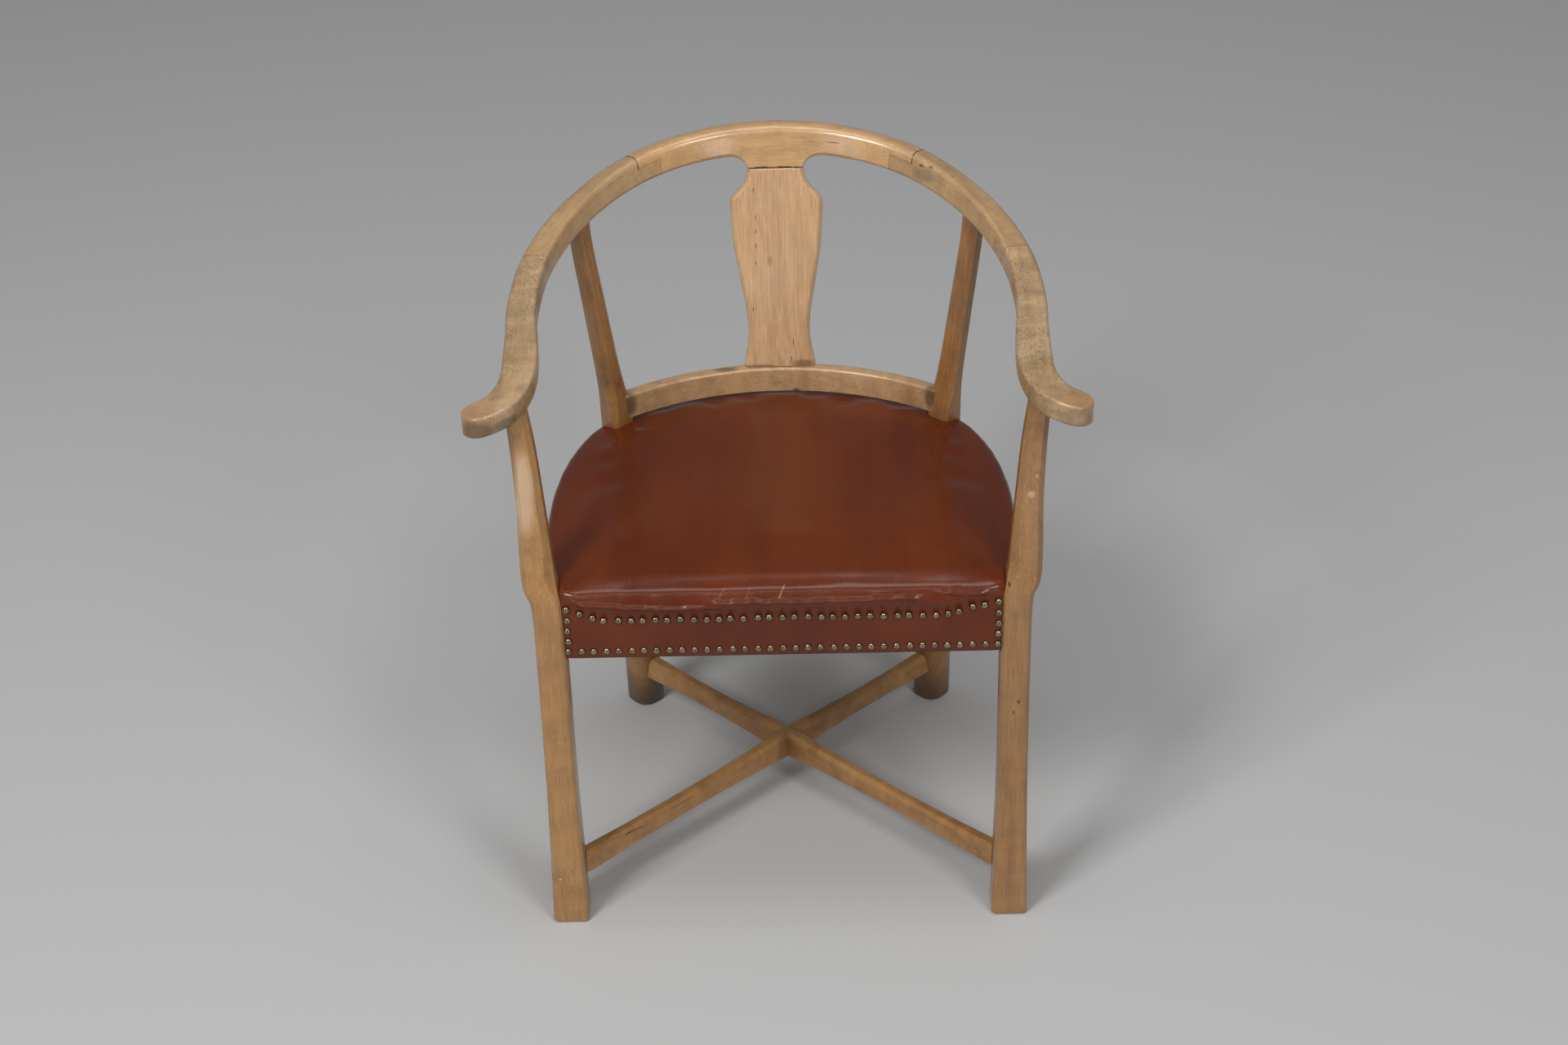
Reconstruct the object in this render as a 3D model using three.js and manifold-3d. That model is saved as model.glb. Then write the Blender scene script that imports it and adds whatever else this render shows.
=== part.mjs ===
// Armchair with a horseshoe-shaped top rail, a vase-shaped splat and a nailed leather seat.
// Millimetres, +Z up. Right is +X for someone who looks at the chair's front.
// While the pieces are made, y = 0 is the front legs' front face and y grows towards the back.
import * as THREE from 'three';
import * as BufferGeometryUtils from 'three/addons/utils/BufferGeometryUtils.js';
import Module from 'manifold-3d';

const wasm = await Module();
wasm.setup();

// Clearance between two pieces that touch
const fit = 0.3;

// Top rail: half an ellipse round the back, then arms that sweep out to rounded tips
const backHalfWidth = 269.5;
const backDepth = 269;
const backStart = 180;
const backHeight = 761.3;
const tipHeight = 652;
const tipReach = 321.5;
const tipFront = 17;
const tipRound = 19;
const railWidth = 30;
const railHeight = 35.5;
const lapLength = 29.5;
const lapRise = 3;
const dowelRadius = 4;
const dowelCover = 6;

// Splat between the rail's tongue and the shoe rail
const splatThickness = 14;
const splatTopWidth = 64;
const splatWaistWidth = 70.5;
const splatShoulderWidth = 104.3;
const splatFootWidth = 83;
const splatEdge = 4.5;
const splatJoint = 0.6;
const splatTenonWidth = 40;
const splatTenonThickness = 8;
const splatTenonLength = 15;
const tongueDrop = 15;
const tongueHalfWidth = 32.3;

// Legs
const frontLegX = 248;
const frontFootWidth = 40.5;
const frontFootDepth = 40;
const frontLegWidth = 32;
const frontLegDepth = 36;
const kneeHeight = 442;
const rearFootX = 179;
const rearFootY = 432;
const rearFootSide = 40.5;
const rearSeatX = 187;
const rearSeatY = 336.5;
const rearSeatHeight = 470;
const rearLegSide = 31;
const rearLegTurn = 43;
const postTenonRadius = 7;
const postTenonRise = 5;
const footEase = 3;

// Shoe rail
const shoeBottom = 468;
const shoeHeight = 30;
const shoeThickness = 18;
const shoeFrontY = 384;
const shoeTenonThickness = 10;
const shoeTenonHeight = 18;
const splatSetBack = 4;

// Seat frame, stuffing and hide
const frameTop = 436;
const frameHeight = 67;
const frameThickness = 24;
const seatFrontY = 1;
const seatBackY = 413;
const hideThickness = 2.2;
const hideBelowFrame = 1;
const seatEdgeRise = 14.5;
const seatCrown = 19;
const seatRearLift = 11;
const seatSideFront = 94;
const seatSideRear = 66;
const seatSideBulge = 15;
const railTenonThickness = 10;
const railTenonHeight = 45;
const railTenonReach = 18;
const rearTenonThickness = 8;
const rearTenonHeight = 40;
const rearTenonReach = 12;

// Straps under the stuffing
const strapWidth = 50;
const strapThickness = 1.6;
const strapWave = 1.1;
const longStraps = [-100, 0, 100];
const crossStraps = [95, 185, 275];
const strapEndInset = 13;

// Corner blocks and their screws
const blockHeight = 40;
const blockLength = 68;
const rearBlockHalf = 44;
const rearBlockDepth = 30;
const screwRadius = 2;
const screwLength = 30;
const screwGrip = 15;
const screwHeadRadius = 4;
const screwHeadHeight = 2.5;

// Crossed stretchers
const stretcherHeight = 63.8;
const stretcherWidth = 17;
const stretcherDepth = 28.5;
const stretcherTenonWidth = 8;
const stretcherTenonHeight = 16;
const stretcherTenonReach = 14;

// Domed nails
const nailRadius = 4;
const nailHeight = 2.4;
const nailPitch = 13.3;
const nailsPerRow = 35;
const nailEdge = 8.5;
const nailSideEdge = 5;
const nailTopRow = 415.7;
const nailTopRise = 14.5;
const nailStripWidth = 1.4;
const nailStripThickness = 0.5;
const nailStripLift = 0.4;

const up = new THREE.Vector3(0, 0, 1);
const sideways = new THREE.Vector3(1, 0, 0);

function vector(x, y, z) {
  return new THREE.Vector3(x, y, z);
}

function offset(point, ...steps) {
  const moved = point.clone();
  for (const [direction, distance] of steps) {
    moved.addScaledVector(direction, distance);
  }
  return moved;
}

// Reads a table whose rows start with a place, easing smoothly from row to row.
function between(rows, place) {
  const last = rows.length - 1;
  if (place <= rows[0][0]) {
    return rows[0].slice(1);
  }
  if (place >= rows[last][0]) {
    return rows[last].slice(1);
  }
  const i = rows.findIndex((row) => row[0] > place) - 1;
  const slope = (row, column) => {
    const before = rows[Math.max(row - 1, 0)];
    const after = rows[Math.min(row + 1, last)];
    return (after[column] - before[column]) / (after[0] - before[0]);
  };
  const span = rows[i + 1][0] - rows[i][0];
  const t = (place - rows[i][0]) / span;
  return rows[i].slice(1).map((start, k) => {
    const end = rows[i + 1][k + 1];
    const rise = end - start;
    const first = slope(i, k + 1) * span;
    const second = slope(i + 1, k + 1) * span;
    const bend = (3 * rise - 2 * first - second) * t * t;
    return start + first * t + bend + (first + second - 2 * rise) * t * t * t;
  });
}

function volume(geometry) {
  const corner = geometry.getAttribute('position');
  const order = geometry.getIndex().array;
  const a = new THREE.Vector3();
  const b = new THREE.Vector3();
  const c = new THREE.Vector3();
  let total = 0;
  for (let i = 0; i < order.length; i += 3) {
    a.fromBufferAttribute(corner, order[i]);
    b.fromBufferAttribute(corner, order[i + 1]);
    c.fromBufferAttribute(corner, order[i + 2]);
    total += a.dot(b.cross(c)) / 6;
  }
  return total;
}

function flipped(geometry) {
  const order = geometry.getIndex();
  for (let i = 0; i < order.count; i += 3) {
    const kept = order.getX(i);
    order.setX(i, order.getX(i + 1));
    order.setX(i + 1, kept);
  }
  return geometry;
}

// Closed solid from a flat ring to one point.
function pointed(rim, tip) {
  const points = [...rim, tip];
  const order = [];
  rim.forEach((point, k) => {
    const next = (k + 1) % rim.length;
    order.push(k, next, rim.length);
    if (k > 0 && k < rim.length - 1) {
      order.push(0, next, k);
    }
  });
  const geometry = new THREE.BufferGeometry();
  const flat = points.flatMap((point) => point.toArray());
  geometry.setAttribute('position', new THREE.Float32BufferAttribute(flat, 3));
  geometry.setIndex(order);
  return volume(geometry) < 0 ? flipped(geometry) : geometry;
}

// Closed solid through rings of equally many points, with a flat fan at each end.
function loft(rings) {
  const count = rings[0].length;
  const middle = (ring) => {
    const sum = new THREE.Vector3();
    ring.forEach((point) => sum.add(point));
    return sum.divideScalar(count);
  };
  const points = [...rings.flat(), middle(rings[0]), middle(rings.at(-1))];
  const order = [];
  const startCentre = points.length - 2;
  const endCentre = points.length - 1;
  const endRing = (rings.length - 1) * count;
  for (let k = 0; k < count; k += 1) {
    const next = (k + 1) % count;
    for (let r = 0; r < endRing; r += count) {
      order.push(r + k, r + next, r + count + next);
      order.push(r + k, r + count + next, r + count + k);
    }
    order.push(startCentre, next, k);
    order.push(endCentre, endRing + k, endRing + next);
  }
  const geometry = new THREE.BufferGeometry();
  const flat = points.flatMap((point) => point.toArray());
  geometry.setAttribute('position', new THREE.Float32BufferAttribute(flat, 3));
  geometry.setIndex(order);
  return volume(geometry) < 0 ? flipped(geometry) : geometry;
}

function toSolid(geometry) {
  const plain = geometry.clone();
  plain.deleteAttribute('normal');
  plain.deleteAttribute('uv');
  const merged = BufferGeometryUtils.mergeVertices(plain, 1e-4);
  return new wasm.Manifold(new wasm.Mesh({
    numProp: 3,
    vertProperties: new Float32Array(merged.getAttribute('position').array),
    triVerts: Uint32Array.from(merged.getIndex().array),
  }));
}

function fromSolid(solid) {
  const mesh = solid.getMesh();
  const geometry = new THREE.BufferGeometry();
  const corners = new THREE.BufferAttribute(Float32Array.from(mesh.vertProperties), 3);
  geometry.setAttribute('position', corners);
  geometry.setIndex(Array.from(mesh.triVerts));
  return geometry;
}

function cut(base, ...tools) {
  return fromSolid(tools.reduce((rest, tool) => rest.subtract(toSolid(tool)), toSolid(base)));
}

function join(base, ...others) {
  return fromSolid(others.reduce((sum, other) => sum.add(toSolid(other)), toSolid(base)));
}

function common(base, ...others) {
  return fromSolid(others.reduce((rest, other) => rest.intersect(toSolid(other)), toSolid(base)));
}

// The same body on the chair's other side.
function mirrored(geometry) {
  return flipped(geometry.clone().scale(-1, 1, 1));
}

// Rectangle with rounded corners, or bevelled ones where steps is 1, anticlockwise.
// The radii go round from the corner where both coordinates are least. A fullness of 0 makes
// each corner a flat bevel, and 1 makes it round.
function section(width, height, radii, steps, fullness = 1) {
  const corners = [[-1, -1], [1, -1], [1, 1], [-1, 1]];
  return corners.flatMap(([sx, sy], i) => {
    const r = Math.min(radii[i], 0.49 * width, 0.49 * height);
    return Array.from({ length: steps + 1 }, (unused, k) => {
      const start = Math.PI * (1 + i / 2);
      const angle = start + (Math.PI * k) / steps / 2;
      const share = k / steps;
      const arc = [Math.cos(angle), Math.sin(angle)];
      const flat = [
        (1 - share) * Math.cos(start) - share * Math.sin(start),
        (1 - share) * Math.sin(start) + share * Math.cos(start),
      ];
      return [
        sx * (width / 2 - r) + r * (flat[0] + fullness * (arc[0] - flat[0])),
        sy * (height / 2 - r) + r * (flat[1] + fullness * (arc[1] - flat[1])),
      ];
    });
  });
}

function ring(centre, across, along, outline) {
  return outline.map(([u, v]) => offset(centre, [across, u], [along, v]));
}

// Straight bar from one point to another; across is the direction of its width.
function bar(from, to, across, width, thickness, grow = 0) {
  const axis = to.clone().sub(from).normalize();
  const along = axis.clone().cross(across).normalize();
  const u = width / 2 + grow;
  const v = thickness / 2 + grow;
  const outline = [[-u, -v], [u, -v], [u, v], [-u, v]];
  return loft([
    ring(offset(from, [axis, -grow]), across, along, outline),
    ring(offset(to, [axis, grow]), across, along, outline),
  ]);
}

function circle(radius, sides) {
  return Array.from({ length: sides }, (unused, k) => {
    const angle = (2 * Math.PI * (k + 0.5)) / sides;
    return [radius * Math.cos(angle), radius * Math.sin(angle)];
  });
}

// Round peg from one point to another.
function peg(from, to, radius, grow = 0, sides = 8) {
  const axis = to.clone().sub(from).normalize();
  const across = Math.abs(axis.z) > 0.9 ? sideways : up.clone().cross(axis).normalize();
  const along = axis.clone().cross(across).normalize();
  const outline = circle(radius + grow, sides);
  return loft([
    ring(offset(from, [axis, -grow]), across, along, outline),
    ring(offset(to, [axis, grow]), across, along, outline),
  ]);
}

function prism(outline, bottom, top) {
  return loft([bottom, top].map((z) => outline.map(([x, y]) => vector(x, y, z))));
}

function box(x0, x1, y0, y1, z0, z1) {
  return prism([[x0, y0], [x1, y0], [x1, y1], [x0, y1]], z0, z1);
}

// Top rail

// Arm points lie between the side of the back and the tip, as shares of both.
const armShares = [
  [-0.038, 0.245],
  [-0.057, 0.491],
  [-0.038, 0.626],
  [0.057, 0.767],
  [0.286, 0.896],
  [0.59, 0.966],
];

const railPlanHalf = [];
for (let angle = 0; angle <= 90; angle += 15) {
  const turn = THREE.MathUtils.degToRad(angle);
  railPlanHalf.push(vector(
    backHalfWidth * Math.sin(turn),
    backStart + backDepth * Math.cos(turn),
    0,
  ));
}
for (const [out, forward] of armShares) {
  railPlanHalf.push(vector(
    backHalfWidth + out * (tipReach - backHalfWidth),
    backStart + forward * (tipFront - backStart),
    0,
  ));
}
railPlanHalf.push(vector(tipReach, tipFront, 0));
const leftPlanHalf = railPlanHalf.slice(1).reverse().map((p) => vector(-p.x, p.y, 0));
const railPlan = new THREE.CatmullRomCurve3([...leftPlanHalf, ...railPlanHalf]);
railPlan.arcLengthDivisions = 600;
const railHalf = railPlan.getLength() / 2;

// Share of the half length: width and height as shares of the rail's, lean in degrees, share of
// the rise to the back, and how round the inner and outer top edges are.
const railRows = [
  [0, 1, 1, 13, 1, 1.33, 1.33],
  [0.122, 1, 0.93, 12.7, 0.984, 1.2, 1.3],
  [0.264, 1, 0.887, 12, 0.896, 0.95, 1.2],
  [0.42, 1.017, 0.803, 9, 0.698, 0.65, 1.05],
  [0.565, 1.033, 0.76, 5, 0.49, 0.5, 0.85],
  [0.695, 1.067, 0.737, 2, 0.314, 0.45, 0.65],
  [0.825, 1.233, 0.718, 0, 0.165, 0.4, 0.5],
  [0.89, 1.167, 0.718, 0, 0.088, 0.38, 0.42],
  [1, 1.267, 0.69, 0, 0, 0.36, 0.38],
];
const crestEnd = 0.2766 * railHalf;
const armStart = 0.565 * railHalf;
const rearPostPlace = 0.404 * railHalf;
const frontPostPlace = 0.893 * railHalf;
const railTopRound = 9;
const railUnderRound = 5;

function railFrame(distance) {
  const share = Math.min(Math.abs(distance) / railHalf, 1);
  const [wide, high, leanDegrees, rise, inner, outer] = between(railRows, share);
  const height = high * railHeight;
  const place = THREE.MathUtils.clamp(0.5 + distance / railHalf / 2, 0, 1);
  const centre = railPlan.getPointAt(place);
  centre.z = tipHeight + rise * (backHeight - tipHeight);
  const tangent = railPlan.getTangentAt(place);
  const outward = vector(-tangent.y, tangent.x, 0).normalize();
  const lean = THREE.MathUtils.degToRad(leanDegrees);
  const across = offset(vector(0, 0, 0), [outward, Math.cos(lean)], [up, -Math.sin(lean)]);
  const along = offset(vector(0, 0, 0), [outward, Math.sin(lean)], [up, Math.cos(lean)]);
  const intoTip = Math.max(1 - (railHalf - Math.abs(distance)) / tipRound, 0);
  const width = wide * railWidth * Math.sqrt(1 - Math.min(intoTip, 0.985) ** 2);
  const topRounds = [outer * railTopRound, inner * railTopRound];
  return { centre, tangent, outward, across, along, width, height, topRounds };
}

const tongueRows = [[0, 1], [0.05, 0.82], [0.18, 0.52], [0.44, 0.2], [0.7, 0.05], [1, 0]];
const tongueFillet = 26;

function railRing(distance, grow, withTongue) {
  const { centre, across, along, width, height, topRounds } = railFrame(distance);
  const grown = [railUnderRound, railUnderRound, ...topRounds].map((r) => r + grow);
  const outline = section(width + 2 * grow, height + 2 * grow, grown, 2);
  if (withTongue) {
    const side = (Math.abs(distance) - tongueHalfWidth) / tongueFillet;
    const drop = tongueDrop * (side <= 0 ? 1 : between(tongueRows, side)[0]);
    const bottom = -height / 2 - grow;
    const rear = -width / 2 + splatThickness;
    outline.splice(3, 0, [rear, bottom], [rear + 4, bottom]);
    [1, 1, 1, 1, 0.35].forEach((share, i) => {
      outline[i][1] -= share * drop;
    });
  }
  return ring(centre, across, along, outline);
}

function railBody(stations, grow = 0, withTongue = false) {
  return loft(stations.map((distance) => railRing(distance, grow, withTongue)));
}

function steps(from, to, count) {
  return Array.from({ length: count + 1 }, (unused, i) => from + ((to - from) * i) / count);
}

const crestHalfStations = [
  tongueHalfWidth - 3,
  ...[0, 0.18, 0.44, 0.72, 1].map((share) => tongueHalfWidth + share * tongueFillet),
  ...steps(tongueHalfWidth + tongueFillet, crestEnd - fit / 2, 5).slice(1),
];
const crestStations = [
  ...crestHalfStations.map((distance) => -distance).reverse(),
  0,
  ...crestHalfStations,
];
const tipStations = [0, 0.4, 0.7, 0.9, 1].map((share) => railHalf - (1 - share) * tipRound);

// The rail's boards are lapped. The board nearer the chair's middle lies over a tongue of the next
// one: above the lap it runs to the joint's end, and below the lap it stops one lap length earlier.
const lapped = (end) => end - lapLength;
const shoulderStations = steps(lapped(crestEnd) + fit / 2, armStart - fit / 2, 11);
const armStations = [
  ...steps(lapped(armStart) + fit / 2, tipStations[0], 13).slice(0, -1),
  ...tipStations,
];
const clearOfRail = 4;

// Both sides of a lap share these places, so that their faces lie parallel.
function lapPlaces(end) {
  return [
    lapped(end) - clearOfRail,
    ...steps(lapped(end) - fit / 2, end + fit / 2, 3),
    end + clearOfRail,
  ];
}

function lapSpace(places, near, far) {
  return loft(places.map((distance) => {
    const { centre, across, along, width } = railFrame(distance);
    const u = width / 2 + clearOfRail;
    return ring(centre, across, along, [[u, near], [-u, near], [-u, far], [u, far]]);
  }));
}

function underLap(end) {
  return lapSpace(lapPlaces(end).slice(1), lapRise + fit / 2, -railHeight);
}

function overLap(end) {
  return lapSpace(lapPlaces(end).slice(0, -1), lapRise - fit / 2, railHeight);
}

// Dowel driven up through the lap, flush with the rail's underside.
function lapDowel(end, grow = 0) {
  const { centre, along, height } = railFrame(end - lapLength / 2);
  const foot = offset(centre, [along, fit - height / 2 - 3 * grow]);
  return peg(foot, offset(centre, [along, height / 2 - dowelCover]), dowelRadius, grow);
}

// Legs

const rearOuter = 4;
const rearPostTop = railFrame(rearPostPlace);
rearPostTop.centre.addScaledVector(rearPostTop.outward, rearOuter);
const frontPostTop = railFrame(frontPostPlace);

// Share of the height to the knee: width and depth, as shares from the foot to the leg.
const frontLegRows = [[0, 0], [0.272, 0.64], [0.454, 0.9], [0.816, 1], [0.984, 1]];
// Share of the height from knee to rail: outward share, backward share, width, depth, inner
// bevel at the front.
const frontPostRows = [
  [0.03, 0.2, 0.023, 35.4, 34, 5],
  [0.1, 0.32, 0.13, 35.3, 29.5, 10],
  [0.22, 0.38, 0.25, 33.7, 25.9, 8],
  [0.47, 0.49, 0.476, 28.7, 23.9, 7],
  [0.75, 0.69, 0.755, 25.7, 22.4, 6],
  [0.95, 0.92, 0.95, 23, 21.6, 5.5],
  [1, 1, 1, 22.5, 21.5, 5.5],
];
const legArris = 3.5;
const postArris = 6;
const kneeX = frontLegX + 1.5;

function frontLegRing(x, front, z, width, depth, radii, grow) {
  const outline = section(width + 2 * grow, depth + 2 * grow, radii.map((r) => r + grow), 1);
  return ring(vector(x, front + depth / 2, z), sideways, vector(0, 1, 0), outline);
}

function frontLegBody(grow = 0) {
  const rings = [];
  const arrises = [legArris, legArris, legArris, legArris];
  const size = (share) => [
    frontFootWidth + share * (frontLegWidth - frontFootWidth),
    frontFootDepth + share * (frontLegDepth - frontFootDepth),
  ];
  const eased = footEase * 0.7;
  const [footWidth, footDepth] = size(0);
  const sole = [frontLegX, eased, -grow, footWidth - 2 * eased, footDepth - 2 * eased];
  rings.push(frontLegRing(...sole, arrises, grow));
  rings.push(frontLegRing(frontLegX, 0, footEase, footWidth, footDepth, arrises, grow));
  for (const [height, share] of frontLegRows.slice(1)) {
    const [width, depth] = size(share);
    const x = height > 0.9 ? kneeX : frontLegX;
    rings.push(frontLegRing(x, 0, height * kneeHeight, width, depth, arrises, grow));
  }
  const top = frontPostTop.centre;
  const kneeY = frontLegDepth / 2;
  for (const [height, out, back, width, depth, bevel] of frontPostRows) {
    const x = kneeX + out * (top.x - kneeX);
    const front = kneeY + back * (top.y - kneeY) - depth / 2;
    const z = kneeHeight + height * (top.z - kneeHeight);
    const bevels = [bevel, postArris, legArris, legArris];
    rings.push(frontLegRing(x, front, z, width, depth, bevels, grow));
  }
  return loft(rings);
}

// Share of the height from seat to rail: shares of the way out and back, side, bevel.
const rearPostRows = [
  [0.116, 0.11, -0.18, 26.8, 5],
  [0.25, 0.27, -0.06, 24.3, 5],
  [0.49, 0.547, 0.35, 22.7, 4.5],
  [0.85, 0.95, 0.98, 21, 4],
  [1, 1, 1, 20.8, 4],
];
// Share of the height from floor to seat: share of the taper, corner size, and how round the
// corner is: the foot is round, and the leg turns into a bevelled square on the way up.
const rearLegRows = [
  [0.17, 0.25, 14, 1],
  [0.4255, 0.583, 11, 0.8],
  [0.766, 0.833, 7, 0.4],
  [1, 1, 5, 0],
];
const rearFrontArris = 2.5;
const legTurn = THREE.MathUtils.degToRad(rearLegTurn);
const rearAcross = vector(Math.cos(legTurn), -Math.sin(legTurn), 0);
const rearOutward = vector(Math.sin(legTurn), Math.cos(legTurn), 0);

function rearLegAt(z) {
  const share = z / rearSeatHeight;
  return vector(
    rearFootX + share * (rearSeatX - rearFootX),
    rearFootY + share * (rearSeatY - rearFootY),
    z,
  );
}

// With inward, the body also reaches that far towards the middle of the seat.
function rearLegBody(grow = 0, inward = 0) {
  const legRing = (centre, side, bevel, fullness = 0, frontBevel = bevel) => {
    const middle = offset(centre, [rearOutward, -inward / 2]);
    const radii = [bevel, frontBevel, bevel, bevel].map((r) => r + grow);
    const outline = section(side + 2 * grow, side + 2 * grow + inward, radii, 2, fullness);
    return ring(middle, rearAcross, rearOutward, outline);
  };
  const eased = footEase * 0.7;
  const rings = [];
  const footRound = rearFootSide / 2 - 5;
  const sole = vector(rearFootX, rearFootY, -grow);
  rings.push(legRing(sole, rearFootSide - 2 * eased, footRound - eased, 1));
  rings.push(legRing(rearLegAt(footEase), rearFootSide, footRound, 1));
  for (const [height, taper, bevel, fullness] of rearLegRows) {
    const side = rearFootSide + taper * (rearLegSide - rearFootSide);
    rings.push(legRing(rearLegAt(height * rearSeatHeight), side, bevel, fullness));
  }
  const start = rearLegAt(rearSeatHeight);
  const top = rearPostTop.centre;
  for (const [height, out, back, side, bevel] of rearPostRows) {
    const centre = vector(
      start.x + out * (top.x - start.x),
      start.y + back * (top.y - start.y),
      start.z + height * (top.z - start.z),
    );
    rings.push(legRing(centre, side, bevel, 0, bevel + rearFrontArris));
  }
  return loft(rings);
}

function postTenon(top, grow = 0) {
  const foot = vector(top.centre.x, top.centre.y, top.centre.z - top.height);
  return peg(foot, offset(top.centre, [up, postTenonRise]), postTenonRadius, grow);
}

// Shoe rail: an arc through its middle and through the rear legs

function arcThrough(middleY, endX, endY) {
  const sagitta = middleY - endY;
  const radius = (endX * endX + sagitta * sagitta) / (2 * sagitta);
  return { radius, centreY: middleY - radius, end: Math.asin(endX / radius) };
}

const shoeMiddle = shoeBottom + shoeHeight / 2;
const shoeMiddleY = shoeFrontY + shoeThickness / 2;
const shoeLeg = rearLegAt(shoeMiddle);
const shoeForward = 4.5;
const shoeArc = arcThrough(shoeMiddleY, shoeLeg.x, shoeLeg.y - shoeForward);

function arcBar(arc, angles, radialShift, z, thickness, height, radii, count, grow = 0) {
  return loft(steps(angles[0], angles[1], count).map((angle) => {
    const outward = vector(Math.sin(angle), Math.cos(angle), 0);
    const outline = section(thickness + 2 * grow, height + 2 * grow, radii, 1);
    const centre = offset(vector(0, arc.centreY, z), [outward, arc.radius + radialShift]);
    return ring(centre, outward, up, outline);
  }));
}

function shoeBody() {
  const radii = [1.5, 1.5, 7, 3];
  const angles = [-shoeArc.end, shoeArc.end];
  return arcBar(shoeArc, angles, 0, shoeMiddle, shoeThickness, shoeHeight, radii, 14);
}

function shoeTenon(grow = 0) {
  const reach = (rearTenonReach + grow) / shoeArc.radius;
  const face = shoeArc.end - rearLegSide / 2 / shoeArc.radius;
  const angles = [face - 0.05, face + reach];
  const radii = [0.5, 0.5, 0.5, 0.5];
  const size = [shoeTenonThickness, shoeTenonHeight];
  return arcBar(shoeArc, angles, 2, shoeMiddle, ...size, radii, 3, grow);
}

// Splat: its middle line leaves the shoe rail nearly upright and meets the tongue square

const crestMiddle = railFrame(0);
const tongueFoot = offset(
  crestMiddle.centre,
  [crestMiddle.across, -crestMiddle.width / 2 + splatThickness / 2],
  [crestMiddle.along, -crestMiddle.height / 2 - tongueDrop],
);
const splatTop = offset(tongueFoot, [crestMiddle.along, -splatJoint]);
const splatFoot = vector(
  0,
  shoeFrontY + splatSetBack + splatThickness / 2,
  shoeBottom + shoeHeight + fit,
);
const splatHeight = splatTop.z - splatFoot.z;
const splatBend = crestMiddle.along.y / crestMiddle.along.z;
const splatMeanSlope = (splatTop.y - splatFoot.y) / splatHeight;

// Share of the height: width as a share from one named width to the next.
const splatRows = [
  [0, splatFootWidth],
  [0.06, splatWaistWidth + 0.6 * (splatFootWidth - splatWaistWidth)],
  [0.11, splatWaistWidth + 0.23 * (splatFootWidth - splatWaistWidth)],
  [0.18, splatWaistWidth],
  [0.23, splatWaistWidth + 0.02 * (splatShoulderWidth - splatWaistWidth)],
  [0.31, splatWaistWidth + 0.13 * (splatShoulderWidth - splatWaistWidth)],
  [0.41, splatWaistWidth + 0.37 * (splatShoulderWidth - splatWaistWidth)],
  [0.515, splatWaistWidth + 0.61 * (splatShoulderWidth - splatWaistWidth)],
  [0.61, splatWaistWidth + 0.815 * (splatShoulderWidth - splatWaistWidth)],
  [0.71, splatWaistWidth + 0.93 * (splatShoulderWidth - splatWaistWidth)],
  [0.79, splatWaistWidth + 0.99 * (splatShoulderWidth - splatWaistWidth)],
  [0.838, splatShoulderWidth],
  [0.86, splatTopWidth + 0.92 * (splatShoulderWidth - splatTopWidth)],
  [0.876, splatTopWidth + 0.735 * (splatShoulderWidth - splatTopWidth)],
  [0.899, splatTopWidth + 0.48 * (splatShoulderWidth - splatTopWidth)],
  [0.923, splatTopWidth + 0.235 * (splatShoulderWidth - splatTopWidth)],
  [0.96, splatTopWidth + 0.06 * (splatShoulderWidth - splatTopWidth)],
  [1, splatTopWidth],
];

function splatBody() {
  return loft(splatRows.map(([share, width]) => {
    const h = share * splatHeight;
    const bend = splatBend - splatMeanSlope;
    const start = 2 * splatMeanSlope - splatBend;
    const centre = vector(0, splatFoot.y + start * h + bend * h * share, splatFoot.z + h);
    const slope = share === 0 ? 0 : Math.atan(start + 2 * bend * share);
    const across = vector(0, Math.cos(slope), -Math.sin(slope));
    const outline = section(width, splatThickness, Array(4).fill(splatEdge), 2);
    return ring(centre, sideways, across, outline);
  }));
}

function splatTopTenon(grow = 0) {
  const from = offset(splatTop, [crestMiddle.along, -5]);
  const to = offset(splatTop, [crestMiddle.along, splatTenonLength]);
  return bar(from, to, sideways, splatTenonWidth, splatTenonThickness, grow);
}

// Below the tongue's flat end face.
function belowTongue() {
  const to = offset(tongueFoot, [crestMiddle.along, -splatTenonLength]);
  const reach = 2 * tongueHalfWidth + 8;
  return bar(tongueFoot, to, sideways, reach, 2 * splatThickness);
}

function splatFootTenon(grow = 0) {
  const from = offset(splatFoot, [up, 5]);
  const to = offset(splatFoot, [up, -splatTenonLength]);
  return bar(from, to, sideways, splatTenonWidth, splatTenonThickness, grow);
}

// Seat outline, anticlockwise from the middle of the front, as [x, y]

const legAtSeat = rearLegAt(frameTop);
const legPassed = [rearOutward, rearLegSide / 2 - 2];
const besideLeg = offset(legAtSeat, legPassed, [rearAcross, rearLegSide / 2 - 0.5]);
const behindLeg = offset(legAtSeat, legPassed, [rearAcross, 0.5 - rearLegSide / 2]);
const seatHalf = [];
seatHalf.push([frontLegX / 2, seatFrontY]);
seatHalf.push([frontLegX - 16, seatFrontY]);
seatHalf.push([frontLegX - 5, seatFrontY + 9]);
seatHalf.push([frontLegX, seatFrontY + 23]);
const seatSide = new THREE.CubicBezierCurve(
  new THREE.Vector2(frontLegX + 2, frontLegDepth + 1),
  new THREE.Vector2(frontLegX + seatSideBulge, frontLegDepth + seatSideFront),
  new THREE.Vector2(frontLegX + seatSideBulge + 3, besideLeg.y - seatSideRear),
  new THREE.Vector2(besideLeg.x, besideLeg.y),
);
seatSide.getPoints(9).forEach((point) => seatHalf.push([point.x, point.y]));
const seatArc = arcThrough(seatBackY, behindLeg.x, behindLeg.y);
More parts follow.
